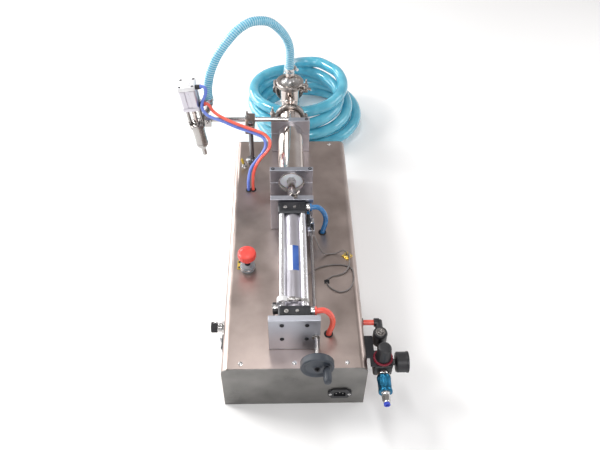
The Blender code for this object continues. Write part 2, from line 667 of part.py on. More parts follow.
def slide_valve():
    x, y = REGULATOR
    place = at(x, 0, VALVE_Z)
    turned("slide_valve_body",
           [(0, 20 - y + GAP), (6, 20 - y + GAP), (6, -12), (13, -11), (13, -5.5), (9.5, -5),
            (9.5, 34), (8, 36), (8, 52), (7, 52.5), (7, 62), (4.2, 62), (4.2, 48), (0, 48)],
           place, CHROME, axis="-Y", segments=20)
    turned("slide_valve_sleeve", [(9.8, -4.6), (14, -4.6), (14.8, 0), (14.8, 33), (13.8, 34),
                                  (9.8, 34)], place, VALVE_BLUE, axis="-Y", segments=24,
           closed=True)


def regulator_elbow():
    x, y = ELBOW
    elbow = turned("regulator_elbow", [(0, 88), (14, 88), (15.5, 90), (15.5, 123), (14, 126),
                                       (4.5, 126), (4.5, 128.5), (0, 128.5)],
                   at(x, y, 0), BLACK, segments=20)
    back = REGULATOR[1] + 20 + GAP
    fuse(elbow,
         rod("elbow_nipple", 7, back, y, at(x, 0, VALVE_Z), axis="Y", segments=14),
         rod("elbow_arm", 8, y, 132, at(x, 0, 114), axis="Y", segments=14),
         rod("elbow_collar", 8.6, -x - 8, 0.4 - 176, at(0, 130, 114), axis="-X",
             segments=16))


# Metering: hand wheel, lead screw and sensor carriage

def metering():
    axis = at(SCREW_X, 0, SCREW_Z)
    rod("lead_screw", SCREW_R, -22, MIDDLE_PLATE_Y + 8, axis, STAINLESS, axis="Y",
        segments=14)
    wheel = turned("handwheel",
                   [(0, 28), (8, 28), (9, 25), (26, 24), (29, 28), (WHEEL_R - 1.5, 28),
                    (WHEEL_R, 26), (WHEEL_R, 12), (WHEEL_R - 1.5, 10), (12, 10), (11, 6),
                    (SCREW_R + GAP, 6), (SCREW_R + GAP, 22 + GAP), (0, 22 + GAP)],
                   axis, BLACK, axis="-Y", segments=32)
    crank = mm(18.5, 0, 4)
    fuse(wheel, rod("crank_stud", 3, 22, 56, axis + crank, axis="-Y", segments=10))
    turned("crank_handle", [(3.3, 28.5), (6, 28.5), (8.2, 34), (8.2, 58), (7, 61), (0, 62),
                            (0, 57), (3.3, 57)], axis + crank, BLACK, axis="-Y",
           segments=16, closed=True)
    carriage = box("sensor_carriage", (-8, 331, -9), (8, 373, 10), axis, ALUMINIUM, 0.8)
    fuse(carriage, box("reed_holder", (-10, 338, 8), (-2.5, 366, 25), axis, bevel=0.6))
    cut(carriage, rod("cut_nut", SCREW_R + GAP, 320, 380, axis, axis="Y", segments=14))


# Hoses, tubes and cables, each a route of points in millimetres

OUTLET_ROUTE = [(0, TEE_Y, 303.3), (0, TEE_Y, 318), (0.5, 819, 338), (1, 819, 360),
                (-2, 818, 385), (-12, 813, 413), (-30, 802, 443), (-53, 790, 467), (-81, 775, 478),
                (-104, 763, 478), (-130, 748, 467), (-158, 733, 442), (-183, 719, 410),
                (-201, 710, 371), (-210, 706, 330), (-211, 705, 303), (-211, 705, 289)]
NOZZLE_RED_ROUTE = [(-218.5, 671, 306), (-212.5, 671, 306.7), (-206, 668, 303),
                    (-199, 661, 294), (-188, 654, 287), (-171, 646, 280.5),
                    (-141, 635.5, 271.5), (-106, 625.5, 263), (-76, 616, 257),
                    (-62, 609, 251), (-53, 600, 241), (-55, 590, 228.5), (-65, 580, 218),
                    (-76, 572, 210), (-87, 560, 199), (-93, 552, 188), (-96.5, 543, 175.5),
                    (-97.7, 534, 160), (-97.5, 529.5, 149), (-97.5, 529, 138)]
NOZZLE_BLUE_ROUTE = [(-224.4, 671, 357.7), (-218.4, 671, 358.4), (-212.5, 669.5, 355),
                     (-211, 667, 345), (-216, 664.5, 330), (-222, 661.5, 317),
                     (-224, 660, 306), (-221, 657, 295), (-211, 651.5, 285),
                     (-196, 647.5, 279), (-171, 643.5, 271), (-141, 633.5, 262),
                     (-106, 625, 253.5), (-76, 614.5, 247), (-67.5, 609, 240.5),
                     (-64, 601, 231), (-68, 591, 220.5), (-78, 581, 210.5), (-89, 570, 202),
                     (-100.5, 557.5, 191.5), (-106, 545, 179.5), (-108.8, 533, 165),
                     (-109, 528, 152), (-109, 527, 145), (-109, 527, 138)]
CYLINDER_RED_ROUTE = [(44, 82, 226), (50, 82, 226), (59, 83.5, 225), (68, 85, 217), (76, 85.5, 203),
                      (80, 85, 186), (79, 84.5, 168), (75, 84, 151), (73, 84, 136)]
CYLINDER_BLUE_ROUTE = [(44, 377, 226), (50, 377, 226), (59, 378, 225), (68, 379, 217),
                       (76, 379, 203), (80, 378.5, 186), (79, 378, 168), (75.4, 377.4, 151),
                       (73.4, 377, 136)]
REGULATOR_RED_ROUTE = [(175.3, 130, 114), (168, 130, 114), (158, 130.2, 114), (147, 130, 114)]
CARRIAGE_CABLE_ROUTE = [(44, 336, 197), (44, 330, 203), (48, 318, 203), (54, 306, 191),
                        (62, 300, 171), (70, 301, 154), (79, 304, 144.4), (89, 306.5, 142.2),
                        (99, 306.8, 142.6), (107, 306, 146.5), (112, 305, 152.5),
                        (118.5, 303.6, 156.5), (124, 302.3, 154), (126.2, 301.6, 149.5),
                        (126.2, 301.6, 146.4)]
FRONT_CABLE_ROUTE = [(-42, 104, 199), (-42, 104, 188), (-41, 108, 168), (-37, 120, 150),
                     (-31, 132, 144.4), (-20, 152, 142.3), (0, 185, 142), (24, 228, 142),
                     (45, 255, 142), (68, 268, 141.9), (96, 273.5, 141.9), (120, 271, 141.9),
                     (135, 262, 141.9), (139, 245, 141.9), (136, 222, 141.9),
                     (125, 202, 141.9), (104, 194, 141.9), (84, 206, 141.9),
                     (76, 224, 141.9), (88, 238, 141.9), (106, 243, 141.9),
                     (120, 250, 143.6), (128, 262, 146.8), (131, 273, 147.3),
                     (131.6, 282, 150), (131.3, 290, 155.5), (130.7, 296.5, 155),
                     (130.4, 299, 150.5), (130.4, 299, 146.4)]
COIL_CENTRE = (46, 994)
COIL_OUTER, COIL_INNER = 182, 92
COIL_HEIGHT = 126
SUCTION_ROUTE = [(0, TEE_END + 62 + GAP, AXIS_Z), (0, 966, AXIS_Z), (1, 1000, 197),
                 (5, 1036, 185), (14, 1068, 171), (30, 1094, 157), (54, 1112, 147.5),
                 (82, 1118, 144), (106, 1111, 143), (127, 1097, 142.8)]


def hoses():
    tubes = [("outlet_hose", OUTLET_ROUTE, OUTLET_HOSE, HOSE_BLUE),
             ("suction_hose", SUCTION_ROUTE, SUCTION_HOSE, HOSE_BLUE),
             ("nozzle_tube_red", NOZZLE_RED_ROUTE, THIN_TUBE, TUBE_RED),
             ("nozzle_tube_blue", NOZZLE_BLUE_ROUTE, THIN_TUBE, TUBE_BLUE),
             ("cylinder_tube_red", CYLINDER_RED_ROUTE, AIR_TUBE, TUBE_RED),
             ("cylinder_tube_blue", CYLINDER_BLUE_ROUTE, AIR_TUBE, TUBE_BLUE),
             ("regulator_tube_red", REGULATOR_RED_ROUTE, AIR_TUBE, TUBE_RED)]
    for name, route, diameter, look in tubes:
        tube_along(name, [at(*p) for p in route], diameter, look)
    for name, route in (("carriage_cable", CARRIAGE_CABLE_ROUTE),
                        ("front_cable", FRONT_CABLE_ROUTE)):
        tube_along(name, [at(*p) for p in route], CABLE, CABLE_GREY, 3.0)
    turned("suction_hose_coil", [(COIL_INNER, GAP), (COIL_OUTER, GAP),
                                 (COIL_OUTER, COIL_HEIGHT), (COIL_INNER, COIL_HEIGHT)],
           at(*COIL_CENTRE, 0), HOSE_BLUE, segments=40, closed=True)


def build():
    for old in list(bpy.data.objects):
        bpy.data.objects.remove(old, do_unlink=True)
    chassis_tray()
    cabinet_cover()
    internals()
    emergency_stop()
    toggle_switch()
    power_inlet()
    rocker_switch()
    pedal_socket()
    front_mount_plate()
    middle_mount_plate()
    cylinder_clamp("cylinder_clamp_front", 52.5, CLAMP_FRONT_Y, PLATE_T, PLATE_TOP)
    cylinder_clamp("cylinder_clamp_rear", 51, CLAMP_REAR_Y, PLATE_T + 2, PLATE_TOP + 2)
    air_cylinder()
    piston_and_rod()
    product_cylinder()
    valve_group()
    nozzle()
    arm_and_post()
    regulator()
    pressure_gauge()
    slide_valve()
    regulator_elbow()
    metering()
    settle_booleans()
    hoses()


build()
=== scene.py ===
"""Looks of the tabletop piston filler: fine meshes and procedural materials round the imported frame.

Millimetres are used throughout, counted from the cabinet as in at(): X from its middle to the
operator's right, Y from its front face to the back, Z from the table.
"""
import json
from math import atan2, cos, pi, radians, sin, sqrt

import bmesh
import bpy
from mathutils import Matrix, Vector

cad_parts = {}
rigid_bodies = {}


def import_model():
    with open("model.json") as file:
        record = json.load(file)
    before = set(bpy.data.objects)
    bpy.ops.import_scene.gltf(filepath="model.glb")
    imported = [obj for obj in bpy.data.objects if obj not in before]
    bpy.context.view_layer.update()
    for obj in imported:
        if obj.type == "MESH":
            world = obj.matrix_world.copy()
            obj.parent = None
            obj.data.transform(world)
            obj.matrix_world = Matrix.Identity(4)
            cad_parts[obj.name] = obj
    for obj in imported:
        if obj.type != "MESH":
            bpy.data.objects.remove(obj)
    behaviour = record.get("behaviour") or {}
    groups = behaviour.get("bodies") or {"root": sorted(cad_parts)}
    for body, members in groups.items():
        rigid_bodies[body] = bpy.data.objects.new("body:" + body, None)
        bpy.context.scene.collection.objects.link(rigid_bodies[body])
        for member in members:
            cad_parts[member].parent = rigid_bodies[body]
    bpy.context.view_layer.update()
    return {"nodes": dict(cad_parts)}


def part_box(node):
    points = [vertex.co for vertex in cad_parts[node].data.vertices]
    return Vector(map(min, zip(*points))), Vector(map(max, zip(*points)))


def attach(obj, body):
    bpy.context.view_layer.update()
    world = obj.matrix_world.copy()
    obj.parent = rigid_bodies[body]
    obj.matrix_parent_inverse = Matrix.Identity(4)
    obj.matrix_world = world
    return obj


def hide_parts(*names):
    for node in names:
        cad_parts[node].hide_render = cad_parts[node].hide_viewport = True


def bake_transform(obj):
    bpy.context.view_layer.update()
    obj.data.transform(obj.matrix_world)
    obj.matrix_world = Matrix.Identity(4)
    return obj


for old in list(bpy.data.objects):
    bpy.data.objects.remove(old, do_unlink=True)
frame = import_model()
NODES = frame["nodes"]
FRONT_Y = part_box("chassis_tray")[0].y


def mm(*values):
    return Vector(values) * 0.001


def at(x, y, z):
    """A place in the CAD frame, in metres, from millimetres off the cabinet's front face."""
    return mm(x, y, z) + Vector((0, FRONT_Y, 0))


def edge(node, corner, axis):
    """One side of a CAD node in millimetres, Y counted from the cabinet's front face."""
    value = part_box(node)[corner][axis] - (FRONT_Y if axis == 1 else 0)
    return value * 1000


TOP = edge("chassis_tray", 1, 2)
HALF_W = edge("cabinet_cover", 1, 0)
LENGTH = edge("chassis_tray", 1, 1)
AXIS_Z = (edge("product_piston", 0, 2) + edge("product_piston", 1, 2)) / 2
PLATE_TOP = edge("front_mount_plate", 1, 2)
TEE_Y = (edge("outlet_barb", 0, 1) + edge("outlet_barb", 1, 1)) / 2
FERRULE_Y = edge("valve_tee", 0, 1)
TEE_TOP = edge("valve_tee", 1, 2)
TEE_END = edge("valve_tee", 1, 1)
ARM_Y = (edge("nozzle_arm", 0, 1) + edge("nozzle_arm", 1, 1)) / 2
ARM_Z = 250.5
SCREW_X = (edge("lead_screw", 0, 0) + edge("lead_screw", 1, 0)) / 2
SCREW_Z = (edge("lead_screw", 0, 2) + edge("lead_screw", 1, 2)) / 2
NOZZLE_X = -246
NOZZLE_LEAN = -6.5     # degrees
REG_X, REG_Y = 185, 36
VALVE_Z = 100
ESTOP_X, ESTOP_Y = -103, 267
POST_X, POST_Y = -103, 643
CROSS_BOLT = (-112, 669, 0)
NOZZLE_INLET = (-211, 705)
CABLE_GLAND = (128, 300, TOP)
CABLE_TIE = (76.5, 224, TOP)
CRANK = (SCREW_X + 18.5, 0, SCREW_Z + 4)


# Materials

def principled(name, colour, roughness, metallic=0.0, **sockets):
    made = bpy.data.materials.new(name)
    made.use_nodes = True
    start = {"Base_Color": (*colour, 1.0), "Roughness": roughness, "Metallic": metallic}
    for socket, value in {**start, **sockets}.items():
        shader_of(made).inputs[socket.replace("_", " ")].default_value = value
    made.diffuse_color = (*colour, 1.0)
    return made


def new_node(look, kind, values=(), **settings):
    made = look.node_tree.nodes.new(kind)
    for key, value in settings.items():
        setattr(made, key, value)
    for key, value in values:
        made.inputs[key].default_value = value
    return made


def link(look, source, target):
    look.node_tree.links.new(source, target)


def grain(look, scale, stretch=(1, 1, 1), detail=4.0):
    """A noise's value, in the piece's own coordinates stretched along each axis."""
    place = new_node(look, "ShaderNodeTexCoord")
    mapping = new_node(look, "ShaderNodeMapping", [("Scale", stretch)])
    noise = new_node(look, "ShaderNodeTexNoise", [("Scale", scale), ("Detail", detail)])
    link(look, place.outputs["Object"], mapping.inputs["Vector"])
    link(look, mapping.outputs["Vector"], noise.inputs["Vector"])
    return noise.outputs["Fac"]


def between(look, value, low, high, start=0.35, end=0.65):
    ranged = new_node(look, "ShaderNodeMapRange", [("From Min", start), ("From Max", end),
        ("To Min", low), ("To Max", high)])
    link(look, value, ranged.inputs["Value"])
    return ranged.outputs["Result"]


def shader_of(look):
    return look.node_tree.nodes["Principled BSDF"]


def tint(look, value, first, second, start=0.35, end=0.65):
    """Base colour that runs from the first colour to the second with a texture's value."""
    mix = new_node(look, "ShaderNodeMix", data_type="RGBA")
    mix.inputs[6].default_value = (*first, 1.0)
    mix.inputs[7].default_value = (*second, 1.0)
    link(look, between(look, value, 0, 1, start, end), mix.inputs[0])
    link(look, mix.outputs[2], shader_of(look).inputs["Base Color"])


def rough(look, value, low, high, start=0.35, end=0.65):
    link(look, between(look, value, low, high, start, end), shader_of(look).inputs["Roughness"])


def bump(look, value, distance, strength=0.6):
    """Adds a bump on top of any that is there already; distance is in millimetres."""
    normal = shader_of(look).inputs["Normal"]
    made = new_node(look, "ShaderNodeBump", [("Distance", distance * 0.001),
        ("Strength", strength)])
    if normal.links:
        link(look, normal.links[0].from_socket, made.inputs["Normal"])
    link(look, value, made.inputs["Height"])
    link(look, made.outputs["Normal"], normal)


def brushed(name, light, dark, roughness, along, scratch=0.02, smear=0.06):
    """Brushed or drawn metal: fine lines along one axis, soft smears and small colour changes."""
    look = principled(name, light, roughness, 1.0)
    lines = grain(look, 60, tuple(0.04 if axis == along else 14.0 for axis in "XYZ"), 3.0)
    smears = grain(look, 14, detail=5.0)
    tint(look, smears, dark, light, 0.3, 0.7)
    add = new_node(look, "ShaderNodeMath", operation="MULTIPLY_ADD")
    add.inputs[1].default_value = 0.5
    link(look, lines, add.inputs[0])
    link(look, smears, add.inputs[2])
    rough(look, add.outputs[0], roughness - smear, roughness + smear, 0.5, 1.0)
    bump(look, lines, scratch)
    return look


def moulded(name, colour, lighter, roughness, texture=0.03, size=900, **sockets):
    """Moulded plastic: a fine eroded texture, uneven sheen and slight handling wear."""
    look = principled(name, colour, roughness, **sockets)
    patches = grain(look, 40)
    tint(look, patches, colour, lighter)
    rough(look, patches, roughness - 0.08, roughness + 0.1)
    bump(look, grain(look, size, detail=2.0), texture)
    return look


def translucent_hose(name, colour, deep, roughness, transmission, coat=0.6):
    look = principled(name, colour, roughness, Transmission_Weight=transmission, IOR=1.45,
        Coat_Weight=coat, Coat_Roughness=0.05)
    tint(look, grain(look, 30, detail=3.0), deep, colour)
    bump(look, grain(look, 60, detail=2.0), 0.15)
    return look


# Painted reflection: the cabinet top's pinkish-brown tint stands in for brown surroundings mirrored
# in the brushed sheet.
SHEET_TOP_PAINTED_REFLECTION = brushed("cabinet_sheet_painted_reflection", (0.48, 0.40, 0.37), (0.35, 0.29, 0.265), 0.34, "Y")
# Painted shade: the front panel is the same brushed sheet as the top, made much darker for the dark
# surroundings that it mirrors.
SHEET_FRONT_PAINTED_SHADE = brushed("panel_sheet_painted_shade", (0.255, 0.248, 0.238), (0.155, 0.152, 0.146), 0.33, "X",
    smear=0.09)
PLATE = brushed("milled_aluminium", (0.47, 0.48, 0.53), (0.40, 0.41, 0.46), 0.38, "X", 0.03)
BARREL = brushed("anodised_extrusion", (0.62, 0.605, 0.66), (0.55, 0.535, 0.59), 0.3, "Y", 0.006,
    0.04)
# Painted highlight: the corner rails are the barrel's own anodised extrusion, drawn in a much paler
# copy of it for the light that they catch.
RAIL_PAINTED_HIGHLIGHT = brushed("rail_painted_highlight", (0.90, 0.89, 0.92), (0.84, 0.83, 0.87), 0.22, "Y", 0.006, 0.04)
SATIN_WHITE = moulded("satin_white_metal", (0.80, 0.80, 0.81), (0.70, 0.70, 0.72), 0.38, 0.02,
    Metallic=0.35)
# Painted reflection: the warm brown tint of this polished steel stands in for brown surroundings
# mirrored in it.
POLISHED_PAINTED_REFLECTION = brushed("polished_tube_painted_reflection", (0.66, 0.60, 0.565), (0.52, 0.46, 0.43), 0.16, "Z", 0.004, 0.05)
STEEL = brushed("turned_steel", (0.50, 0.485, 0.475), (0.36, 0.345, 0.335), 0.26, "Z", 0.012)
STEEL_BAR = brushed("drawn_bar", (0.52, 0.50, 0.49), (0.38, 0.36, 0.355), 0.22, "X", 0.008)
# Painted reflection: the post is polished steel, given a dark grey colour for the dark surroundings
# that it mirrors.
POST_STEEL_PAINTED_REFLECTION = brushed("post_bar", (0.26, 0.26, 0.27), (0.19, 0.19, 0.20), 0.24, "Z", 0.01)
CLAMP_BROWN = brushed("bronze_block", (0.30, 0.235, 0.205), (0.20, 0.155, 0.135), 0.33, "Z", 0.03)
CAST = brushed("cast_clamp", (0.44, 0.40, 0.375), (0.29, 0.265, 0.25), 0.28, "Y", 0.05)
NICKEL = brushed("bright_nickel", (0.66, 0.655, 0.65), (0.54, 0.535, 0.53), 0.17, "X", 0.006)
BRASS = brushed("yellow_brass", (0.80, 0.62, 0.22), (0.68, 0.49, 0.15), 0.28, "Z", 0.02)
CAP_BLACK = moulded("cast_cap_black", (0.016, 0.017, 0.021), (0.035, 0.035, 0.04), 0.42, 0.08,
    500, Metallic=0.3)
BLACK = moulded("black_moulding", (0.01, 0.01, 0.012), (0.02, 0.02, 0.023), 0.4)
WHEEL = moulded("wheel_moulding", (0.024, 0.031, 0.042), (0.048, 0.056, 0.070), 0.44, 0.06, 700)
BLACK_STEEL = brushed("black_oxide", (0.07, 0.07, 0.075), (0.04, 0.04, 0.045), 0.35, "Z", 0.02)
RUBBER = moulded("black_rubber", (0.01, 0.01, 0.01), (0.02, 0.02, 0.02), 0.62)
PTFE = moulded("white_ptfe", (0.92, 0.92, 0.97), (0.84, 0.84, 0.92), 0.33, 0.02,
    Subsurface_Weight=0.15)
RED = moulded("red_moulding", (0.74, 0.045, 0.035), (0.80, 0.08, 0.06), 0.36, 0.03, 800,
    Coat_Weight=0.15)
RED_RING = moulded("red_ring", (0.16, 0.006, 0.020), (0.23, 0.012, 0.030), 0.3)
GREY = moulded("grey_moulding", (0.22, 0.24, 0.26), (0.29, 0.31, 0.33), 0.42)
WHITE = moulded("white_moulding", (0.78, 0.78, 0.78), (0.70, 0.70, 0.70), 0.4)
YELLOW = moulded("yellow_moulding", (0.55, 0.37, 0.03), (0.64, 0.46, 0.07), 0.4)
BLUE_CAP = moulded("blue_collet", (0.03, 0.06, 0.50), (0.06, 0.10, 0.60), 0.3)
LABEL_BLUE = moulded("label_blue", (0.03, 0.09, 0.34), (0.05, 0.13, 0.42), 0.35, 0.01)
LABEL_WHITE = moulded("label_white", (0.80, 0.81, 0.83), (0.72, 0.74, 0.78), 0.38, 0.01)
CIRCUIT = moulded("control_case", (0.10, 0.16, 0.12), (0.14, 0.2, 0.16), 0.45)
CABLE_LOOK = moulded("cable_sheath", (0.16, 0.145, 0.14), (0.22, 0.20, 0.195), 0.4)
SLEEVE = brushed("blue_anodised", (0.035, 0.20, 0.34), (0.02, 0.13, 0.25), 0.3, "Z", 0.03)
HOSE_THICK = translucent_hose("suction_pvc", (0.16, 0.60, 0.76), (0.09, 0.47, 0.65), 0.1, 0.3, 0.8)
TUBE_RED = translucent_hose("red_tube", (0.95, 0.15, 0.10), (0.88, 0.11, 0.08), 0.25, 0.1, 0.3)
TUBE_BLUE = translucent_hose("blue_tube", (0.17, 0.26, 0.76), (0.11, 0.19, 0.66), 0.25, 0.1, 0.3)
AIR_BLUE = translucent_hose("air_tube_blue", (0.05, 0.24, 0.55), (0.03, 0.17, 0.42), 0.22, 0.15,
    0.4)
GLASS = principled("gauge_glass", (1, 1, 1), 0.03, Transmission_Weight=1.0, IOR=1.45)
bump(GLASS, grain(GLASS, 25), 0.02)


def wire_hose():
    """Light blue hose whose steel spiral shows through as a paler line."""
    look = principled("outlet_pvc", (0.20, 0.55, 0.72), 0.16, Transmission_Weight=0.2,
        Coat_Weight=0.5, Coat_Roughness=0.06)
    wire = new_node(look, "ShaderNodeAttribute", attribute_name="wire")
    blots = grain(look, 150, detail=2.0)
    mix = new_node(look, "ShaderNodeMath", operation="MULTIPLY_ADD")
    mix.inputs[1].default_value = 0.9
    link(look, blots, mix.inputs[0])
    link(look, wire.outputs["Fac"], mix.inputs[2])
    tint(look, mix.outputs[0], (0.06, 0.40, 0.60), (0.50, 0.76, 0.86), 0.6, 1.5)
    bump(look, blots, 0.3)
    return look


HOSE_WIRE = wire_hose()


# Mesh building

NAMED = {"X": (1, 0, 0), "-X": (-1, 0, 0), "Y": (0, 1, 0), "-Y": (0, -1, 0), "Z": (0, 0, 1),
    "-Z": (0, 0, -1)}


def spin(angle, axis="Z"):
    """A turn in degrees."""
    return Matrix.Rotation(radians(angle), 4, axis)


def in_scene(name, data):
    made = bpy.data.objects.new(name, data)
    bpy.context.scene.collection.objects.link(made)
    return made


def turn_to(axis):
    return Vector((0, 0, 1)).rotation_difference(Vector(NAMED[axis])).to_matrix().to_4x4()


def skin(part, rings, closed=False):
    """Faces between rings of points; the ends are capped unless they meet."""
    for first, last in zip(rings, rings[1:] + (rings[:1] if closed else [])):
        for k in range(len(first)):
            j = (k + 1) % len(first)
            part.faces.new((first[k], first[j], last[j], last[k]))
    if not closed:
        part.faces.new(rings[0][::-1])
        part.faces.new(rings[-1])


def softened(points, radius, closed):
    """The profile with each corner rounded, as far as its neighbours leave room."""
    out = []
    count = len(points)
    for i, point in enumerate(points):
        here = Vector(point)
        if not closed and i in (0, count - 1):
            out.append(here)
            continue
        back, ahead = Vector(points[i - 1]) - here, Vector(points[(i + 1) % count]) - here
        if back.length < 1e-6 or ahead.length < 1e-6 or back.angle(ahead) > radians(160):
            out.append(here)
            continue
        room = min(radius, back.length * 0.45, ahead.length * 0.45)
        start, end = here + back.normalized() * room, here + ahead.normalized() * room
        for t in (0.0, 0.33, 0.67, 1.0):
            out.append(start * (1 - t) ** 2 + here * 2 * t * (1 - t) + end * t * t)
    return out


def arc(cx, cy, radius, start, end, steps):
    return [(cx + radius * cos(radians(a)), cy + radius * sin(radians(a))) for a in (start
        + (end - start) * i / steps for i in range(steps + 1))]


def smooth_route(points, spacing):
    """Points about spacing apart on a smooth curve through the given ones."""
    points = [Vector(p) for p in points]
    ends = [2 * points[0] - points[1]] + points + [2 * points[-1] - points[-2]]
    fine = []
    for a, b, c, d in zip(ends, ends[1:], ends[2:], ends[3:]):
        for i in range(24):
            t = i / 24
            fine.append(0.5 * (2 * b + (c - a) * t + (2 * a - 5 * b + 4 * c - d) * t * t
                + (3 * b - a - 3 * c + d) * t ** 3))
    fine.append(points[-1])
    length = route_length(fine)
    count = max(2, round(length / spacing))
    out, walked, want = [fine[0]], 0.0, length / count
    for p, q in zip(fine, fine[1:]):
        step = (q - p).length
        while step and walked + step >= want and len(out) < count:
            p = p.lerp(q, (want - walked) / step)
            step = (q - p).length
            walked = 0.0
            out.append(p)
        walked += step
    return out + [fine[-1]]


def route_length(points):
    return sum((q - p).length for p, q in zip(points, points[1:]))


class Shape:
    """Closed shapes gathered into one mesh, in millimetres."""

    def __init__(self):
        self.bm = bmesh.new()

    def take(self, part, place=(0, 0, 0), turn=None):
        bmesh.ops.recalc_face_normals(part, faces=part.faces)
        matrix = Matrix.Translation(Vector(place)) @ (turn or Matrix())
        bmesh.ops.transform(part, matrix=matrix, verts=part.verts)
        mesh = bpy.data.meshes.new("part")
        part.to_mesh(mesh)
        part.free()
        self.bm.from_mesh(mesh)
        bpy.data.meshes.remove(mesh)
        return self

    def lathe(self, profile, place=(0, 0, 0), axis="Z", segments=56, closed=None, soft=0.5,
              flutes=0, depth=0.0, band=None):
        """A profile of (radius, height) turned about axis; flutes press grooves into a band.

        A profile that doesn't run from the axis back to it is closed, unless closed says so."""
        if closed is None:
            closed = profile[0][0] > 0 or profile[-1][0] > 0
        points = softened(profile, soft, closed) if soft else [Vector(p) for p in profile]
        part = bmesh.new()
        rings = []
        for radius, height in points:
            if radius < 1e-6:
                rings.append([part.verts.new((0, 0, height))])
                continue
            ring = []
            for k in range(segments):
                a = 2 * pi * k / segments
                pressed = flutes and band[0] <= height <= band[1]
                r = radius - (depth * (0.5 + 0.5 * cos(flutes * a)) if pressed else 0)
                ring.append(part.verts.new((r * cos(a), r * sin(a), height)))
            rings.append(ring)
        pairs = list(zip(rings, rings[1:])) + ([(rings[-1], rings[0])] if closed else [])
        for lower, upper in pairs:
            for k in range(segments if len(lower) + len(upper) > 2 else 0):
                j = (k + 1) % segments
                corners = [lower[k % len(lower)], lower[j % len(lower)], upper[j % len(upper)],
                    upper[k % len(upper)]]
                part.faces.new(list(dict.fromkeys(corners)))
        return self.take(part, place, turn_to(axis))

    def rod(self, radius, start, end, place=(0, 0, 0), axis="Z", segments=32, soft=0.5):
        return self.lathe([(0, start), (radius, start), (radius, end), (0, end)], place, axis,
            segments, soft=soft)

    def ring(self, inner, outer, start, end, place=(0, 0, 0), axis="Z", segments=56, soft=0.5):
        return self.lathe([(inner, start), (outer, start), (outer, end), (inner, end)], place,
            axis, segments, soft=soft)

    def block(self, low, high, place=(0, 0, 0), bevel=0.5, turn=None):
        part = bmesh.new()
        bmesh.ops.create_cube(part, size=1.0)
        low, high = Vector(low), Vector(high)
        size = high - low
        bmesh.ops.transform(part, matrix=Matrix.Translation((low + high) / 2)
            @ Matrix.Diagonal((*size, 1.0)), verts=part.verts)
        if bevel:
            bmesh.ops.bevel(part, geom=part.edges[:], offset=bevel, segments=3, affect="EDGES",
                profile=0.5)
        return self.take(part, place, turn)

    def prism(self, outline, low, high, axis="Z", place=(0, 0, 0), bevel=0.4, turn=None):
        """An outline extruded along an axis: (Y, Z) along X, (X, Z) along Y, (X, Y) along Z."""
        def spot(u, v, w):
            return {"X": (w, u, v), "Y": (u, w, v), "Z": (u, v, w)}[axis]
        part = bmesh.new()
        first = [part.verts.new(spot(u, v, low)) for u, v in outline]
        last = [part.verts.new(spot(u, v, high)) for u, v in outline]
        part.faces.new(first)
        part.faces.new(last[::-1])
        for i in range(len(outline)):
            j = (i + 1) % len(outline)
            part.faces.new((first[i], last[i], last[j], first[j]))
        if bevel:
            rims = [e for e in part.edges if len(e.link_faces) == 2
                and e.calc_face_angle() > radians(35)]
            bmesh.ops.bevel(part, geom=rims, offset=bevel, segments=2, affect="EDGES",
                profile=0.5)
        return self.take(part, place, turn)

    def hexagon(self, across, low, high, place=(0, 0, 0), axis="Z", sides=6):
        radius = across / 2 / cos(pi / sides)
        outline = [(radius * cos(2 * pi * i / sides), radius * sin(2 * pi * i / sides))
            for i in range(sides)]
        return self.prism(outline, low, high, "Z", place, 0.4, turn_to(axis))

    def tube(self, route, radius, spacing=None, segments=20, closed=False, hollow=0.0,
             ridge=None):
        """A round tube along a smooth curve through the route.

        hollow opens the far end to that radius; ridge is (height, pitch) of a spiral."""
        points = [Vector(p) for p in route] if closed else smooth_route(route, spacing or radius)
        part = bmesh.new()
        wire = part.verts.layers.float.new("wire")
        side = Vector((0.3, 1, 0.1))
        rings, run = [], 0.0
        count = len(points)
        for i, point in enumerate(points):
            before = points[i - 1] if i or closed else point
            after = points[(i + 1) % count] if i < count - 1 or closed else point
            ahead = (after - before).normalized()
            side = (side - side.project(ahead)).normalized()
            up = ahead.cross(side)
            run += (point - points[i - 1]).length if i else 0.0
            ring = []
            for k in range(segments):
                a = 2 * pi * k / segments
                lift = 0.5 + 0.5 * cos(2 * pi * run / ridge[1] - a) if ridge else 0.0
                r = radius + (ridge[0] * (lift - 1) if ridge else 0.0)
                vert = part.verts.new(point + (side * cos(a) + up * sin(a)) * r)
                vert[wire] = lift
                ring.append(vert)
            rings.append(ring)
        for back in (0, 40) if hollow else ():
            centre = points[-1] - ahead * back
            rings.append([part.verts.new(centre + (side * cos(a) + up * sin(a)) * hollow)
                for a in (2 * pi * k / segments for k in range(segments))])
        skin(part, rings, closed)
        return self.take(part)

    def lean(self, matrix):
        bmesh.ops.transform(self.bm, matrix=matrix, verts=self.bm.verts)
        return self

    def cap_screw(self, place, axis, head=5.0, height=4.0, dome=0.0):
        """A round head with a hexagonal socket; place is under the head."""
        socket, floor = head * 0.5, height * 0.35
        return self.lathe([(socket, floor), (socket, height), (head, height - dome), (head, 0),
            (0.2, 0), (0.2, floor)], place, axis, 30, soft=0.4)

    def pan_screw(self, place, axis, head=4.0, height=2.4):
        """A pan head with two low crossed walls in a sunk centre."""
        self.lathe([(0, 0), (head, 0), (head, height * 0.45), (head * 0.72, height * 0.88),
            (head * 0.4, height), (head * 0.3, height * 0.4), (0, height * 0.4)], place, axis, 28,
            soft=0.3)
        for angle in (20, 110):
            self.block((-head * 0.32, -0.35, height * 0.3), (head * 0.32, 0.35, height * 0.6),
                place, 0.1, turn_to(axis) @ spin(angle))
        return self

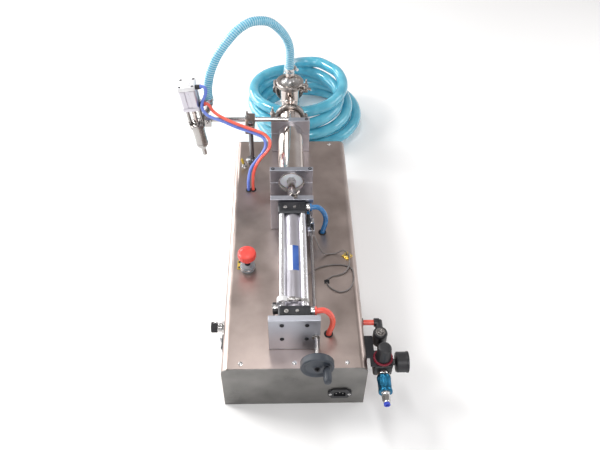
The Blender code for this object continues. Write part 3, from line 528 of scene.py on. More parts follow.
    def clamp_band(self, place, axis, flange, neck, outer):
        """A sanitary clamp's band, grooved for the flanges that it holds together."""
        return self.lathe([(neck + 0.3, -7.2), (outer - 2.4, -7.6), (outer, -5.2), (outer, 5.2),
            (outer - 2.4, 7.6), (neck + 0.3, 7.2), (neck + 0.6, 5.6), (flange + 0.8, 4.9),
            (flange + 0.8, -4.9), (neck + 0.6, -5.6)], place, axis, 96, soft=0.8)

    def wings(self, outline, thick, bevel, place, turn):
        """Two mirrored wings, in the plane of X and Z before they are turned."""
        for side in (-1, 1):
            self.prism([(side * u, v) for u, v in outline[::side]], -thick, thick, "Y", place,
                bevel, turn)
        return self

    def wing_nut(self, place, axis, angle):
        """A cast wing nut on a threaded stud, standing on place along axis."""
        self.rod(2.9, -16, 17, place, axis, 20, 0.3)
        for k in range(7):
            self.ring(2.8, 3.3, 8.5 + k * 1.2, 9.1 + k * 1.2, place, axis, 20, 0.1)
        self.lathe([(0.1, -1), (7, -1), (5.6, 6.5), (4.4, 7.5), (0.1, 7.5)], place, axis, 32,
            closed=False)
        return self.wings([(3.5, 0), (9, 1.5), (15.5, 7), (16.5, 13), (12.5, 14.5), (8, 9),
            (4, 6.5)], 1.9, 1.0, place, turn_to(axis) @ spin(angle))

    def make(self, name, look, stands_for="", body="machine", angle=38):
        """The finished object, in metres in the CAD frame, riding on its body."""
        to_cad = Matrix.Translation((0, FRONT_Y, 0)) @ Matrix.Scale(0.001, 4)
        bmesh.ops.transform(self.bm, matrix=to_cad, verts=self.bm.verts)
        mesh = bpy.data.meshes.new(name)
        self.bm.to_mesh(mesh)
        self.bm.free()
        mesh.shade_smooth()
        mesh.set_sharp_from_angle(angle=radians(angle))
        mesh.materials.append(look)
        made = in_scene(name, mesh)
        if body:
            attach(made, body)
        if stands_for:
            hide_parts(*stands_for.split())
        return made


def dress(node, look, radius=0.4):
    """A CAD node that is shown: its own material, rounded edges and clean shading."""
    piece = NODES[node]
    mesh = piece.data
    mesh.materials.clear()
    mesh.materials.append(look)
    for name in ("custom_normal", "sharp_face", "sharp_edge"):
        if name in mesh.attributes:
            mesh.attributes.remove(mesh.attributes[name])
    mesh.shade_smooth()
    weld = piece.modifiers.new("weld", "WELD")
    weld.merge_threshold = 0.00002
    soft = piece.modifiers.new("soft_edges", "BEVEL")
    soft.width = radius * 0.001
    soft.segments = 2
    soft.limit_method = "ANGLE"
    soft.angle_limit = radians(32)
    soft.harden_normals = True
    shading = piece.modifiers.new("shading", "WEIGHTED_NORMAL")
    shading.keep_sharp = True


# Camera and light

def camera_and_light():
    yaw, pitch, roll = radians(2.011), radians(46.41), radians(0.977)
    ahead = Vector((sin(yaw) * cos(pitch), cos(yaw) * cos(pitch), -sin(pitch)))
    level = Vector((cos(yaw), -sin(yaw), 0))
    upright = level.cross(ahead)
    right = cos(roll) * level + sin(roll) * upright
    above = -sin(roll) * level + cos(roll) * upright
    camera = in_scene("camera", bpy.data.cameras.new("camera"))
    camera.data.lens, camera.data.sensor_width = 39.12, 36
    camera.matrix_world = (Matrix.Translation(at(-18.6, -696.5, 1294.9))
                           @ Matrix((right, above, -ahead)).transposed().to_4x4())
    bpy.context.scene.camera = camera

    for name, place, target, size, power, colour in (
            ("key_light", (-1.9, 0.5, 1.8), (0, 0, 0.1), (0.8, 0.8), 42, (1, 0.99, 0.97)),
            ("left_light", (-2.1, 1.5, 0.45), (0, 0, 0.1), (1.8, 0.8), 34, (1, 1, 1)),
            ("upper_left", (-0.95, 1.7, 1.35), (0, 0, 0.2), (0.35, 0.5), 6, (1, 1, 1)),
            ("top_strip", (-0.05, 0.3, 2.2), (0, 0.1, 0.1), (0.3, 1.2), 9, (1, 1, 1)),
            ("front_fill", (0.3, -1.9, 1.9), (0, 0, 0.1), (1.2, 0.8), 22, (1, 1, 1)),
            ("right_light", (1.9, 0.6, 1.0), (0, 0, 0.1), (1.2, 0.8), 8, (1, 1, 1))):
        light = bpy.data.lights.new(name, "AREA")
        light.shape = "RECTANGLE"
        light.size, light.size_y = size
        light.energy, light.color = power, colour
        lamp = in_scene(name, light)
        lamp.location = place
        lamp.rotation_euler = (Vector(target) - Vector(place)).to_track_quat("-Z", "Y").to_euler()
    world = bpy.data.worlds.new("studio")
    world.use_nodes = True
    tree = world.node_tree
    place = tree.nodes.new("ShaderNodeTexCoord")
    split = tree.nodes.new("ShaderNodeSeparateXYZ")
    ramp = tree.nodes.new("ShaderNodeValToRGB")
    ramp.color_ramp.elements[0].position = 0.45
    ramp.color_ramp.elements[0].color = (0.86, 0.86, 0.88, 1)
    ramp.color_ramp.elements[1].position = 1.0
    ramp.color_ramp.elements[1].color = (0.30, 0.29, 0.285, 1)
    middle = ramp.color_ramp.elements.new(0.72)
    middle.color = (0.62, 0.58, 0.56, 1)
    tree.links.new(place.outputs["Generated"], split.inputs[0])
    tree.links.new(split.outputs["Z"], ramp.inputs[0])
    tree.links.new(ramp.outputs[0], tree.nodes["Background"].inputs["Color"])
    tree.nodes["Background"].inputs["Strength"].default_value = 0.72
    bpy.context.scene.world = world
    bpy.context.scene.view_settings.view_transform = "Standard"

    mesh = bpy.data.meshes.new("floor")
    bm = bmesh.new()
    bmesh.ops.create_grid(bm, x_segments=1, y_segments=1, size=6)
    bm.to_mesh(mesh)
    bm.free()
    floor = in_scene("floor", mesh)
    floor.location.z = -0.0005
    pale = principled("pale_floor", (0.95, 0.95, 0.95), 0.7)
    rough(pale, grain(pale, 3), 0.65, 0.8)
    mesh.materials.append(pale)


# Hoses, tubes and cables

OUTLET_ROUTE = [(0, 819, 303.3), (0, 819, 318), (0.5, 819, 338), (1, 819, 360), (-2, 818, 385),
    (-12, 813, 413), (-30, 802, 443), (-53, 790, 467), (-81, 775, 478), (-104, 763, 478),
    (-130, 748, 467), (-158, 733, 442), (-183, 719, 410), (-201, 710, 371), (-210, 706, 330),
    (-211, 705, 303), (-211, 705, 289)]
NOZZLE_RED_ROUTE = [(-218.5, 671, 306), (-212.5, 671, 306.7), (-206, 668, 303), (-199, 661, 294),
    (-188, 654, 287), (-171, 646, 280.5), (-141, 635.5, 271.5), (-106, 625.5, 263),
    (-76, 616, 257), (-62, 609, 251), (-53, 600, 241), (-55, 590, 228.5), (-65, 580, 218),
    (-76, 572, 210), (-87, 560, 199), (-93, 552, 188), (-96.5, 543, 175.5), (-97.7, 534, 160),
    (-97.5, 529.5, 149), (-97.5, 529, 138)]
NOZZLE_BLUE_ROUTE = [(-224.4, 671, 357.7), (-218.4, 671, 358.4), (-212.5, 669.5, 355),
    (-211, 667, 345), (-216, 664.5, 330), (-222, 661.5, 317), (-224, 660, 306), (-221, 657, 295),
    (-211, 651.5, 285), (-196, 647.5, 279), (-171, 643.5, 271), (-141, 633.5, 262),
    (-106, 625, 253.5), (-76, 614.5, 247), (-67.5, 609, 240.5), (-64, 601, 231),
    (-68, 591, 220.5), (-78, 581, 210.5), (-89, 570, 202), (-100.5, 557.5, 191.5),
    (-106, 545, 179.5), (-108.8, 533, 165), (-109, 528, 152), (-109, 527, 145), (-109, 527, 138)]
CYLINDER_RED_ROUTE = [(44, 82, 226), (50, 82, 226), (59, 83.5, 225), (68, 85, 217),
    (76, 85.5, 203), (80, 85, 186), (79, 84.5, 168), (75, 84, 151), (73, 84, 136)]
CYLINDER_BLUE_ROUTE = [(44, 377, 226), (50, 377, 226), (59, 378, 225), (68, 379, 217),
    (76, 379, 203), (80, 378.5, 186), (79, 378, 168), (75.4, 377.4, 151), (73.4, 377, 136)]
REGULATOR_RED_ROUTE = [(175.3, 130, 114), (168, 130, 114), (158, 130.2, 114), (147, 130, 114)]
CARRIAGE_CABLE_ROUTE = [(44, 336, 197), (44, 330, 203), (48, 318, 203), (54, 306, 191),
    (62, 300, 171), (70, 301, 154), (79, 304, 144.4), (89, 306.5, 142.2), (99, 306.8, 142.6),
    (107, 306, 146.5), (112, 305, 152.5), (118.5, 303.6, 156.5), (124, 302.3, 154),
    (126.2, 301.6, 149.5), (126.2, 301.6, 146.4)]
FRONT_CABLE_ROUTE = [(-42, 104, 199), (-42, 104, 188), (-41, 108, 168), (-37, 120, 150),
    (-31, 132, 144.4), (-20, 152, 142.3), (0, 185, 142), (24, 228, 142), (45, 255, 142),
    (68, 268, 141.9), (96, 273.5, 141.9), (120, 271, 141.9), (135, 262, 141.9), (139, 245, 141.9),
    (136, 222, 141.9), (125, 202, 141.9), (104, 194, 141.9), (84, 206, 141.9), (76, 224, 141.9),
    (88, 238, 141.9), (106, 243, 141.9), (120, 250, 143.6), (128, 262, 146.8), (131, 273, 147.3),
    (131.6, 282, 150), (131.3, 290, 155.5), (130.7, 296.5, 155), (130.4, 299, 150.5),
    (130.4, 299, 146.4)]
SUCTION_ROUTE = [(0, TEE_END + 62.3, AXIS_Z), (0, 966, AXIS_Z), (1, 1000, 197), (5, 1036, 185),
    (14, 1068, 171), (30, 1094, 157), (54, 1112, 147.5), (82, 1118, 144), (106, 1111, 143)]
SUCTION_OD = 33.0
COIL_START = (127, 1097, 142.8)
COIL_TURNS = 4
TURN_STEPS = 24
TAIL_STEPS = 10
COIL_STACK = [(40, 1006, 126), (17, 985, 135), (36, 990, 144), (60, 989, 151), (62, 989, 153),
    (60, 988, 119)]     # centre and radius at the start of each turn, then of the tail


def coil_route():
    """Four turns down onto the table, then a short tail on the table inside them."""
    start = atan2(COIL_START[1] - COIL_STACK[0][1], COIL_START[0] - COIL_STACK[0][0])
    high, low = COIL_START[2], SUCTION_OD / 2
    route = []
    for step in range(1, COIL_TURNS * TURN_STEPS + TAIL_STEPS + 1):
        turn = step / TURN_STEPS
        a = start - 2 * pi * turn
        if turn <= COIL_TURNS:
            index = min(int(turn), COIL_TURNS - 1)
            part = turn - index
        else:
            index, part = COIL_TURNS, min(1.0, (turn - COIL_TURNS) / 0.25)
        part = part * part * (3 - 2 * part)
        x, y, r = (p + (q - p) * part for p, q in zip(COIL_STACK[index], COIL_STACK[index + 1]))
        z = max(low, high + (low - high) * turn / COIL_TURNS)
        route.append((x + r * cos(a), y + r * sin(a), z))
    return route


def hose(name, stands_for, route, diameter, look, spacing, joined=None, far_end="object",
         lay="hanging", stiffness="stiff", **shape):
    """A cord drawn as a tube; joined is (other body, blend start, blend end), and given it, the tube
    rides on no body.
    """
    points = smooth_route(route, spacing)
    made = (Shape().tube(route, diameter / 2, spacing, **shape)
            .make(name, look, stands_for, None if joined else "machine"))
    if joined:
        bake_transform(made)


def hoses():
    carrier = "nozzle_carrier"
    hose("outlet_hose_wire", "outlet_hose", OUTLET_ROUTE, 23, HOSE_WIRE, 1.4,
         (carrier, (-15, TEE_Y, 400), (-190, 712, 400)), segments=24, ridge=(0.55, 5.6))
    hose("suction_hose_coiled", "suction_hose suction_hose_coil", SUCTION_ROUTE + coil_route(),
         SUCTION_OD, HOSE_THICK, 9, far_end="bare", lay="coiled", segments=32, hollow=12.5)
    hose("tube_nozzle_red", "nozzle_tube_red", NOZZLE_RED_ROUTE[::-1], 8, TUBE_RED, 4,
         (carrier, (-76, 616, 257), (-205, 667, 300)))
    hose("tube_nozzle_blue", "nozzle_tube_blue", NOZZLE_BLUE_ROUTE[::-1], 8, TUBE_BLUE, 4,
         (carrier, (-76, 614, 247), (-218, 663, 320)))
    hose("tube_cylinder_red", "cylinder_tube_red", CYLINDER_RED_ROUTE, 12, TUBE_RED, 4)
    hose("tube_cylinder_blue", "cylinder_tube_blue", CYLINDER_BLUE_ROUTE, 12, AIR_BLUE, 4)
    cable = {"lay": "loose", "stiffness": "limp", "segments": 12}
    hose("cable_front_sensor", "front_cable", FRONT_CABLE_ROUTE, 3.2, CABLE_LOOK, 2.5, **cable)
    hose("cable_carriage_sensor", "carriage_cable", CARRIAGE_CABLE_ROUTE[::-1], 3.2, CABLE_LOOK,
         2.5, ("sensor_slide", (100, 306, 150), (48, 330, 190)), **cable)
    (Shape().tube(REGULATOR_RED_ROUTE, 6, 4)
     .make("tube_regulator_red", TUBE_RED, "regulator_tube_red"))


# Cabinet and what is on it

def cabinet():
    # The front panel's darker copy of the sheet carries painted shade.
    dress("chassis_tray", SHEET_FRONT_PAINTED_SHADE, 0.3)
    # The cover's tinted copy of the sheet carries a painted reflection.
    dress("cabinet_cover", SHEET_TOP_PAINTED_REFLECTION, 0.3)
    dress("solenoid_valve", PLATE)
    dress("control_box", CIRCUIT, 0.8)
    screws = Shape()
    for x in (-110, 0, 108):
        for y in (14.5, LENGTH - 14.5):
            (screws.ring(2.4, 5.0, 0, 0.6, (x, y, TOP + 0.02), segments=28, soft=0.2)
             .pan_screw((x, y, TOP + 0.5), "Z", 3.9, 2.2))
    screws.make("cover_screws", NICKEL)
    grommets = Shape()
    for x, y, r in ((-109, 527, 4.1), (-97.5, 529, 4.1), (73, 84, 6.1), (73.4, 377, 6.1)):
        grommets.lathe([(r, -3), (r + 1.3, -3), (r + 1.3, 0.1), (r + 3.6, 0.3), (r + 3.4, 1.9),
            (r + 1.6, 2.6), (r, 1.6)], (x, y, TOP), "Z", 36, soft=0.4)
    (grommets.lathe([(6.1, -3), (7.3, -3), (7.3, 0.1), (10, 0.3), (9.6, 2.2), (6.1, 1.8)],
            (HALF_W, 130, 114), "X", 36).make("tube_grommets", RUBBER))
    (Shape().hexagon(19, 0.1, 2.6, CABLE_GLAND, sides=4).hexagon(16, 2.4, 4.8, CABLE_GLAND)
     .lathe([(7.2, 4.4), (8.0, 4.4), (7.6, 5.8), (6.2, 6.05), (2, 6.05), (2, 4.4)], CABLE_GLAND,
            "Z", 36, soft=0.3).make("cable_gland", BRASS))
    (Shape().block((-6, -5, 0.1), (6, 5, 1.7), CABLE_TIE, 0.4)
     .block((-2.6, -3.4, 1.5), (2.6, 3.6, 5.2), CABLE_TIE, 0.6)
     .tube([Vector(CABLE_TIE) + Vector((4.2 * cos(a), 0.5 * sin(a * 2), 3.2 + 2.7 * sin(a)))
            for a in (2 * pi * k / 28 for k in range(28))], 1.0, closed=True, segments=8)
     .make("cable_tie", BLACK))


def emergency_stop():
    spot = (ESTOP_X, ESTOP_Y, TOP)
    (Shape().ring(6.6, 11, -30, 0.4, spot, soft=0.3).hexagon(28, -16, -11, spot)
     .lathe([(6.6, 0.35), (17, 0.35), (17.2, 6), (16.4, 9.6), (15.4, 15.4), (13.6, 16),
            (6.6, 16)], spot, "Z", 64, soft=0.7).make("estop_collar", GREY, "estop_base"))
    Shape().ring(15.9, 17.7, 7.2, 9.2, spot, soft=0.3).make("estop_collar_ring", NICKEL)
    (Shape().lathe([(0, -28), (6.2, -28), (6.2, 20), (5.4, 21), (5.4, 40.7), (0, 40.7)], spot,
            "Z", 40).make("estop_stem", BLACK, "estop_plunger", "estop_button"))
    head = Shape().lathe([(0, 41.3), (6.5, 41.3), (6.5, 28.4), (11.6, 28.4), (12.2, 36),
        (18.6, 38.6), (20.9, 41.5), (21, 50.5), (19.6, 54.6), (15.3, 56.6), (8.4, 57.7), (0, 58)],
        spot, "Z", 128, soft=0.9, flutes=20, depth=0.9, band=(39.5, 54.2))
    for k in range(3):
        turn = spin(120 * k)
        curve = [Vector((10.5 * cos(a), 10.5 * sin(a), 57.3)) for a in (radians(8 + 7 * i)
            for i in range(9))]
        head.tube([Vector(spot) + turn @ p for p in curve], 0.8, 1.2, 8)
        tip = [(8.2, -1.2), (13.2, -1.2), (10.7, 3.6)]
        head.prism(tip, 56.6, 57.9, "Z", spot, 0.2, turn @ spin(66))
    head.make("estop_mushroom_cap", RED, "estop_head", "estop_mushroom")
    (Shape().prism([(-5, -13), (5, -13), (5, 13), (-5, 13)], 0.1, 1.5, "Z", (-122, 276, TOP), 0.4)
     .make("estop_tag", YELLOW))
    marks = Shape()
    for y in (268, 284):
        marks.block((-3.2, -3, 1.4), (3.2, 3, 1.8), (-122, y, TOP), 0.15)
    marks.make("estop_tag_marks", BLACK)


def toggle_switch():
    spot = (-124, 620, TOP)
    base = (Shape().rod(9, -28, -6, spot).ring(3.7, 5.7, -6.2, 8, spot, segments=40, soft=0.3)
            .hexagon(14, 0.5, 3.2, spot).ring(5.6, 8.4, 0.1, 0.9, spot, segments=36, soft=0.2))
    for k in range(4):
        base.ring(5.5, 6.0, 4.0 + k, 4.5 + k, spot, segments=36, soft=0.15)
    base.make("toggle_bushing", NICKEL, "toggle_base")
    tilt = Matrix.Translation((spot[0], spot[1], TOP + 1)) @ spin(-12, "Y")
    (Shape().lathe([(0, -5.2), (1.5, -5.2), (1.5, 8), (2.2, 12), (3.1, 20), (2.7, 23.6),
            (1.4, 25.3), (0, 25.5)], segments=32).lean(tilt)
     .make("toggle_bat", NICKEL, "toggle_lever", "toggle"))
    (Shape().lathe([(2.0, 9.4), (3.1, 9.4), (3.7, 19.8), (3.3, 23.8), (2.2, 25.9), (0.1, 26.1),
            (0.1, 24), (2.0, 21)], segments=32).lean(tilt)
     .make("toggle_sleeve", YELLOW, body="toggle"))
    Shape().rod(3.0, 0.1, 1.2, (-116, 645, TOP), "Z", 28).make("toggle_marker", WHITE)


def power_inlet():
    x = (edge("power_inlet", 0, 0) + edge("power_inlet", 1, 0)) / 2
    dress("power_inlet", BLACK, 0.6)
    pins = Shape()
    for dx, dz in ((-7, -2), (0, 2.5), (7, -2)):
        pins.block((dx - 1.15, -0.8, dz - 2.15), (dx + 1.15, 16, dz + 2.15), (x, 0, 43), 0.35)
    pins.make("inlet_pins", NICKEL)
    screws = Shape()
    for dx in (-20.2, 20.2):
        screws.pan_screw((x + dx, -3.3, 43), "-Y", 3.4, 2.0)
    screws.make("inlet_screws", NICKEL)


def left_wall():
    place = (-HALF_W, 124, 112)
    nut = (Shape().rod(7.8, -16, 1, place, "-X").ring(7.0, 12.4, 0.35, 1.3, place, "-X", soft=0.2)
            .hexagon(21.5, 1.2, 5.6, place, "-X"))
    for k in range(6):
        nut.ring(8.6, 9.9, 6.0 + 1.4 * k, 6.9 + 1.4 * k, place, "-X", soft=0.2)
    nut.rod(9.3, 1, 15.2, place, "-X").make("pedal_socket_shell", NICKEL, "pedal_socket")
    (Shape().lathe([(0, 15), (10.6, 15), (11.5, 16.2), (11.5, 27.6), (10.4, 29), (0, 29)], place,
            "-X", 120, soft=0.6, flutes=30, depth=0.7, band=(16.0, 27.7))
     .make("pedal_socket_cap", BLACK))
    chain = Shape().tube([(-154, 124, 124.4), (-156, 124, 126.5), (-160, 124, 128.6),
        (-165, 124.4, 129.3), (-170, 124.8, 128.4), (-173, 125, 125.4), (-173.4, 125, 122.8)],
        0.8, 1.2, 8)
    for k in range(9):
        a = k / 8
        chain.lathe([(0, -1.1), (1.0, -0.7), (1.1, 0), (1.0, 0.7), (0, 1.1)],
                    (-155.5 - 16.5 * a, 124 + a, 125.6 + 3.4 * sin(pi * a) - 0.6 * a), "Z", 12,
                    soft=0)
    chain.make("cap_chain", NICKEL)
    dress("rocker_frame", BLACK, 0.5)
    dress("rocker_paddle", GREY, 0.7)


# The line of plates, air cylinder, piston and product cylinder

def plates():
    for node in ("front_mount_plate", "middle_mount_plate", "cylinder_clamp_front_lower",
                 "cylinder_clamp_front_upper", "cylinder_clamp_rear_lower",
                 "cylinder_clamp_rear_upper"):
        dress(node, PLATE, 0.35)
    face = edge("front_mount_plate", 0, 1)
    bolts = Shape()
    for sx in (-1, 1):
        for sz in (-1, 1):
            bolts.cap_screw((sx * 25, face + 0.4, AXIS_Z + sz * 23.5), "-Y", 4.6, 2.6, 0.8)
    bolts.make("mount_plate_bolts", BLACK_STEEL)
    top = Shape()
    for x, y in ((-45, 495), (45, 495), (-42, 689), (42, 689)):
        z = PLATE_TOP if y < 600 else PLATE_TOP + 2
        top.cap_screw((x, y, z - 0.6), "Z", 4.4, 1.6, 0.2)
    top.make("clamp_screws", BLACK_STEEL)
    (Shape().ring(4.35, 8.5, -2.2, -0.05, (SCREW_X, face, SCREW_Z), "Y", soft=0.4)
     .make("screw_bush", STEEL))
    spot = (8, 396, PLATE_TOP - 1)
    (Shape().rod(5.2, 0.1, 5.5, spot, "Z", 32, 0.7).rod(3.0, 5, 11, spot, "Z", 24)
     .wings([(1.5, 4), (6, 4.5), (11, 9), (12.5, 14), (10, 16.5), (6.4, 13), (2, 9)], 1.6, 0.8,
            spot, spin(25)).make("wing_screw", CAST))


def barrel_outline(radius, ear, offset, steps=160):
    """The extrusion's outline: a round tube with a bar at each of its four corners."""
    out = []
    for k in range(steps):
        a = 2 * pi * k / steps
        way = Vector((cos(a), sin(a)))
        reach = radius
        for sx in (-1, 1):
            for sy in (-1, 1):
                centre = Vector((sx * offset, sy * offset))
                along = centre.dot(way)
                miss = centre.length_squared - along * along
                if along > 0 and miss < ear * ear:
                    reach = max(reach, along + sqrt(ear * ear - miss))
        out.append((way.x * reach, way.y * reach))
    return out


def air_cylinder():
    first, last = edge("air_cylinder_barrel", 0, 1), edge("air_cylinder_barrel", 1, 1)
    spot = (0, 0, AXIS_Z)
    (Shape().prism(barrel_outline(28, 6.9, 23.4), first, last, "Y", spot, 0.3)
     .make("cylinder_extrusion", BARREL, "air_cylinder_barrel", angle=30))
    rails = Shape()
    for x in (-23.5, 23.5):
        for z in (-23.5, 23.5):
            inward = atan2(-z, -x)
            bead = [(x + 7 * cos(inward + a), z + 7 * sin(inward + a))
                for a in (radians(62 + 236 * k / 28) for k in range(29))]
            rails.prism(bead, first, last, "Y", spot, 0.3)
    # The rails take the paler copy of the barrel's material, a painted highlight.
    rails.make("cylinder_rails", RAIL_PAINTED_HIGHLIGHT, angle=40)
    for node in ("air_cylinder_front_cap", "air_cylinder_rear_cap"):
        dress(node, CAP_BLACK, 0.8)
    for name, y in (("front", 76), ("rear", 370)):
        (Shape().cap_screw((-16, y, AXIS_Z + 32), "Z", 3.0, 1.4)
         .ring(3.2, 4.6, 32.3, 33.2, (-16, y, AXIS_Z), soft=0.3)
         .hexagon(6.4, 32.3, 34.0, (6, y, AXIS_Z)).rod(1.9, 33.8, 35.4, (6, y, AXIS_Z), "Z", 20)
         .make("cushion_screws_" + name, STEEL))
        ribs = Shape()
        for x in (-26, 17, 26):
            ribs.block((x - 0.9, y - 8.5, 32.2), (x + 0.9, y + 8.5, 33.4), (0, 0, AXIS_Z), 0.4)
        (ribs.block((-27, y - 8.6, 32.2), (27, y - 7.2, 33.1), (0, 0, AXIS_Z), 0.4)
         .make("cap_ribs_" + name, CAP_BLACK))
    for name, y, look in (("front", 82, TUBE_RED), ("rear", 377, AIR_BLUE)):
        place = (0, y, AXIS_Z + 24)
        (Shape().ring(6.15, 9.2, 33.2, 41.5, place, "X", 40, 0.6)
         .hexagon(15, 32.6, 37, place, "X").make("push_fitting_" + name, NICKEL))
        (Shape().lathe([(6.1, 41.2), (8.4, 41.2), (9.0, 44.6), (8.4, 45.6), (6.1, 45.2)], place,
                "X", 40).make("push_collet_" + name, look))
    for name, start, end, look in (("white", 92, 116, LABEL_WHITE), ("blue", 64, 92, LABEL_BLUE)):
        patch = arc(0, 0, 28.02, start, end, 10) + arc(0, 0, 28.22, end, start, 10)
        Shape().prism(patch, 186, 256, "Y", spot, 0).make("label_plain_" + name, look)


def sensor_band():
    """Worm-drive band round the barrel, with its reed switch on the left."""
    half, corner, y = 31.2, 8.2, 104
    screw = (-2, y, AXIS_Z + 35)
    outline = []
    for cx, cz, start in ((1, 1, 0), (-1, 1, 90), (-1, -1, 180), (1, -1, 270)):
        outline += arc(cx * (half - corner), cz * (half - corner), corner, start, start + 90, 8)
    part = bmesh.new()
    skin(part, [[part.verts.new((u * scale, y + dy, AXIS_Z + v * scale)) for u, v in outline]
        for scale, dy in ((1, -4), ((half + 0.8) / half, -4), ((half + 0.8) / half, 4), (1, 4))],
        closed=True)
    (Shape().take(part).block((-11, y - 4.5, 31.6), (3, y + 4.5, 38.5), (0, 0, AXIS_Z), 1.2)
     .rod(3.2, -9, 12, screw, "X", 24).hexagon(6.4, 12, 16, screw, "X")
     .make("sensor_band", STEEL))
    points = smooth_route([(-31, y, AXIS_Z + 14), (-35, y, AXIS_Z + 24), (-33, y, AXIS_Z + 34),
        (-24, y, AXIS_Z + 38.5), (-14, y, AXIS_Z + 36)], 1.5)
    part = bmesh.new()
    sections = []
    for i, p in enumerate(points):
        ahead = (points[min(i + 1, len(points) - 1)] - points[max(i - 1, 0)]).normalized()
        out = ahead.cross(Vector((0, 1, 0))) * 0.4
        sections.append([part.verts.new(p + Vector((0, dy, 0)) + out * side)
                         for dy, side in ((-6, -1), (6, -1), (6, 1), (-6, 1))])
    skin(part, sections)
    Shape().take(part).make("sensor_strap", SATIN_WHITE)
    (Shape().block((-44, 93, -3), (-32.4, 117, 8), (0, 0, AXIS_Z), 1.4)
     .make("front_reed_switch", BLACK))
    (Shape().block((-45, 99, 7.6), (-33, 110, 10.2), (0, 0, AXIS_Z))
     .pan_screw((-39, 104.5, AXIS_Z + 10), "Z", 2.6, 1.6).make("front_reed_clip", NICKEL))


def pistons():
    spot = (0, 0, AXIS_Z)
    near = edge("product_piston", 0, 1)
    (Shape().lathe([(0, near), (27.6, near), (29.7, near + 2.2), (29.7, near + 7),
            (28.2, near + 7.6), (28.2, near + 10.4), (29.7, near + 11), (29.7, near + 26),
            (0, near + 26)], spot, "Y", 96, soft=0.6)
     .make("ptfe_piston", PTFE, "product_piston", "piston"))
    (Shape().ring(28.2, 29.75, near + 7.7, near + 10.3, spot, "Y", 96, 0.6)
     .make("piston_seal", RUBBER, body="piston"))
    (Shape().lathe([(0, 94), (24.6, 94), (24.6, 120), (10, 120), (10, near - 12),
            (8.6, near - 11), (8.6, near - 0.4), (0, near - 0.4)], spot, "Y", 64)
     .make("chromed_rod", POLISHED_PAINTED_REFLECTION, "piston_rod", "piston"))
    Shape().hexagon(19, near - 10.5, near - 0.4, spot, "Y").make("rod_nut", STEEL, body="piston")
    (Shape().lathe([(10.2, 404.6), (14.5, 404.6), (13.8, 407.5), (10.2, 407.2)], spot, "Y", 48)
     .make("rod_wiper", RUBBER))


def product_cylinder():
    spot = (0, 0, AXIS_Z)
    near = edge("product_cylinder", 0, 1)
    (Shape().lathe([(30, near), (31.75, near), (31.75, FERRULE_Y - 6), (33, FERRULE_Y - 4.6),
            (36, FERRULE_Y - 4), (36, FERRULE_Y - 0.3), (30, FERRULE_Y - 0.3)], spot, "Y", 128)
     .make("polished_cylinder", POLISHED_PAINTED_REFLECTION, "product_cylinder"))


# Sanitary clamps, tee, balls and hose tails

def level_clamp(name, y, side, stands_for=""):
    """The lug is on the right and the wing nut on the left where side is 1."""
    place = (0, y, AXIS_Z)
    lug = [(38, -8), (44, -9.5), (48, -5), (48, 5), (44, 9.5), (38, 8)]
    clamp = Shape().clamp_band(place, "Y", 36 if side > 0 else 36.4, 32.4, 41)
    clamp.prism([(side * x, z) for x, z in lug[::side]], -5.5, 5.5, "Y", place, 1.2)
    if side > 0:
        clamp.rod(2.6, -8, 8, (44.5, y, AXIS_Z), "Y", 24)
    left = -53 if side > 0 else 37
    for z in (-9, 3.2):
        clamp.block((left, -5.5, z), (left + 16, 5.5, z + 5.8), place, 1.2)
    clamp.wing_nut((-48 * side, y, AXIS_Z + 9.6), "Z", 90).make(name, CAST, stands_for)


def sanitary_clamps():
    level_clamp("clamp_cylinder", FERRULE_Y, 1, "tri_clamp_cylinder")
    place = (0, TEE_Y, TEE_TOP)
    outlet = Shape().clamp_band(place, "Z", 32, 26.2, 37.5)
    outlet.prism([(-35, -8), (-41, -9), (-45, -4), (-45, 4), (-41, 9), (-35, 8)][::-1], -5.5, 5.5,
        "Z", place, 1.2)
    outlet.rod(2.6, -8, 8, (-40.5, TEE_Y, TEE_TOP), "Z", 24)
    for y in (-12, -21.5):
        outlet.block((30, y - 3, -5.5), (46.5, y + 3, 5.5), place, 1.2)
    outlet.wing_nut((41.5, TEE_Y - 25, TEE_TOP), "-Y", 12)
    outlet.make("clamp_outlet", CAST, "tri_clamp_outlet")
    level_clamp("clamp_inlet", TEE_END, -1)


def tee_and_tails():
    spot = (0, 0, AXIS_Z)
    r = 25.4     # the tee's outer radius
    dress("valve_tee", POLISHED_PAINTED_REFLECTION, 0.4)
    saddle = [(r * cos(a), TEE_Y + r * sin(a),
               AXIS_Z + sqrt(max(0, (r + 0.2) ** 2 - (r * cos(a)) ** 2)))
              for a in (2 * pi * (k + 0.5) / 72 for k in range(72))]
    Shape().tube(saddle, 1.1, closed=True, segments=10).make("tee_weld", STEEL)
    for name, z, y, axis in (("outlet", 246.6, TEE_Y, "Z"), ("inlet", AXIS_Z, TEE_END - 36.6, "Y")):
        profile = [(13 * sin(radians(a)), -13 * cos(radians(a))) for a in range(0, 181, 6)]
        profile[0], profile[-1] = (0, -13), (0, 13)
        (Shape().lathe(profile, (0, y, z), axis, 48, soft=0)
         .make(name + "_ball", POLISHED_PAINTED_REFLECTION, name + "_valve_ball", name + "_ball"))
    z = TEE_TOP
    (Shape().lathe([(7.5, z + 0.2), (31.6, z + 0.2), (31.6, z + 4.4), (24, z + 5.2), (14, z + 9.5),
            (10.4, z + 16), (9.6, z + 20), (9.6, z + 35), (7.5, z + 35)], (0, TEE_Y, 0), "Z", 72,
            soft=0.8).make("outlet_tail", STEEL, "outlet_barb"))
    y = TEE_END
    (Shape().lathe([(11, y + 0.2), (36, y + 0.2), (36, y + 4.6), (31, y + 5.6), (26, y + 14),
            (20, y + 18), (14.5, y + 24), (13.6, y + 27), (13.6, y + 62), (11, y + 62)], spot,
            "Y", 72, soft=0.8).make("suction_tail", POLISHED_PAINTED_REFLECTION, "inlet_barb"))


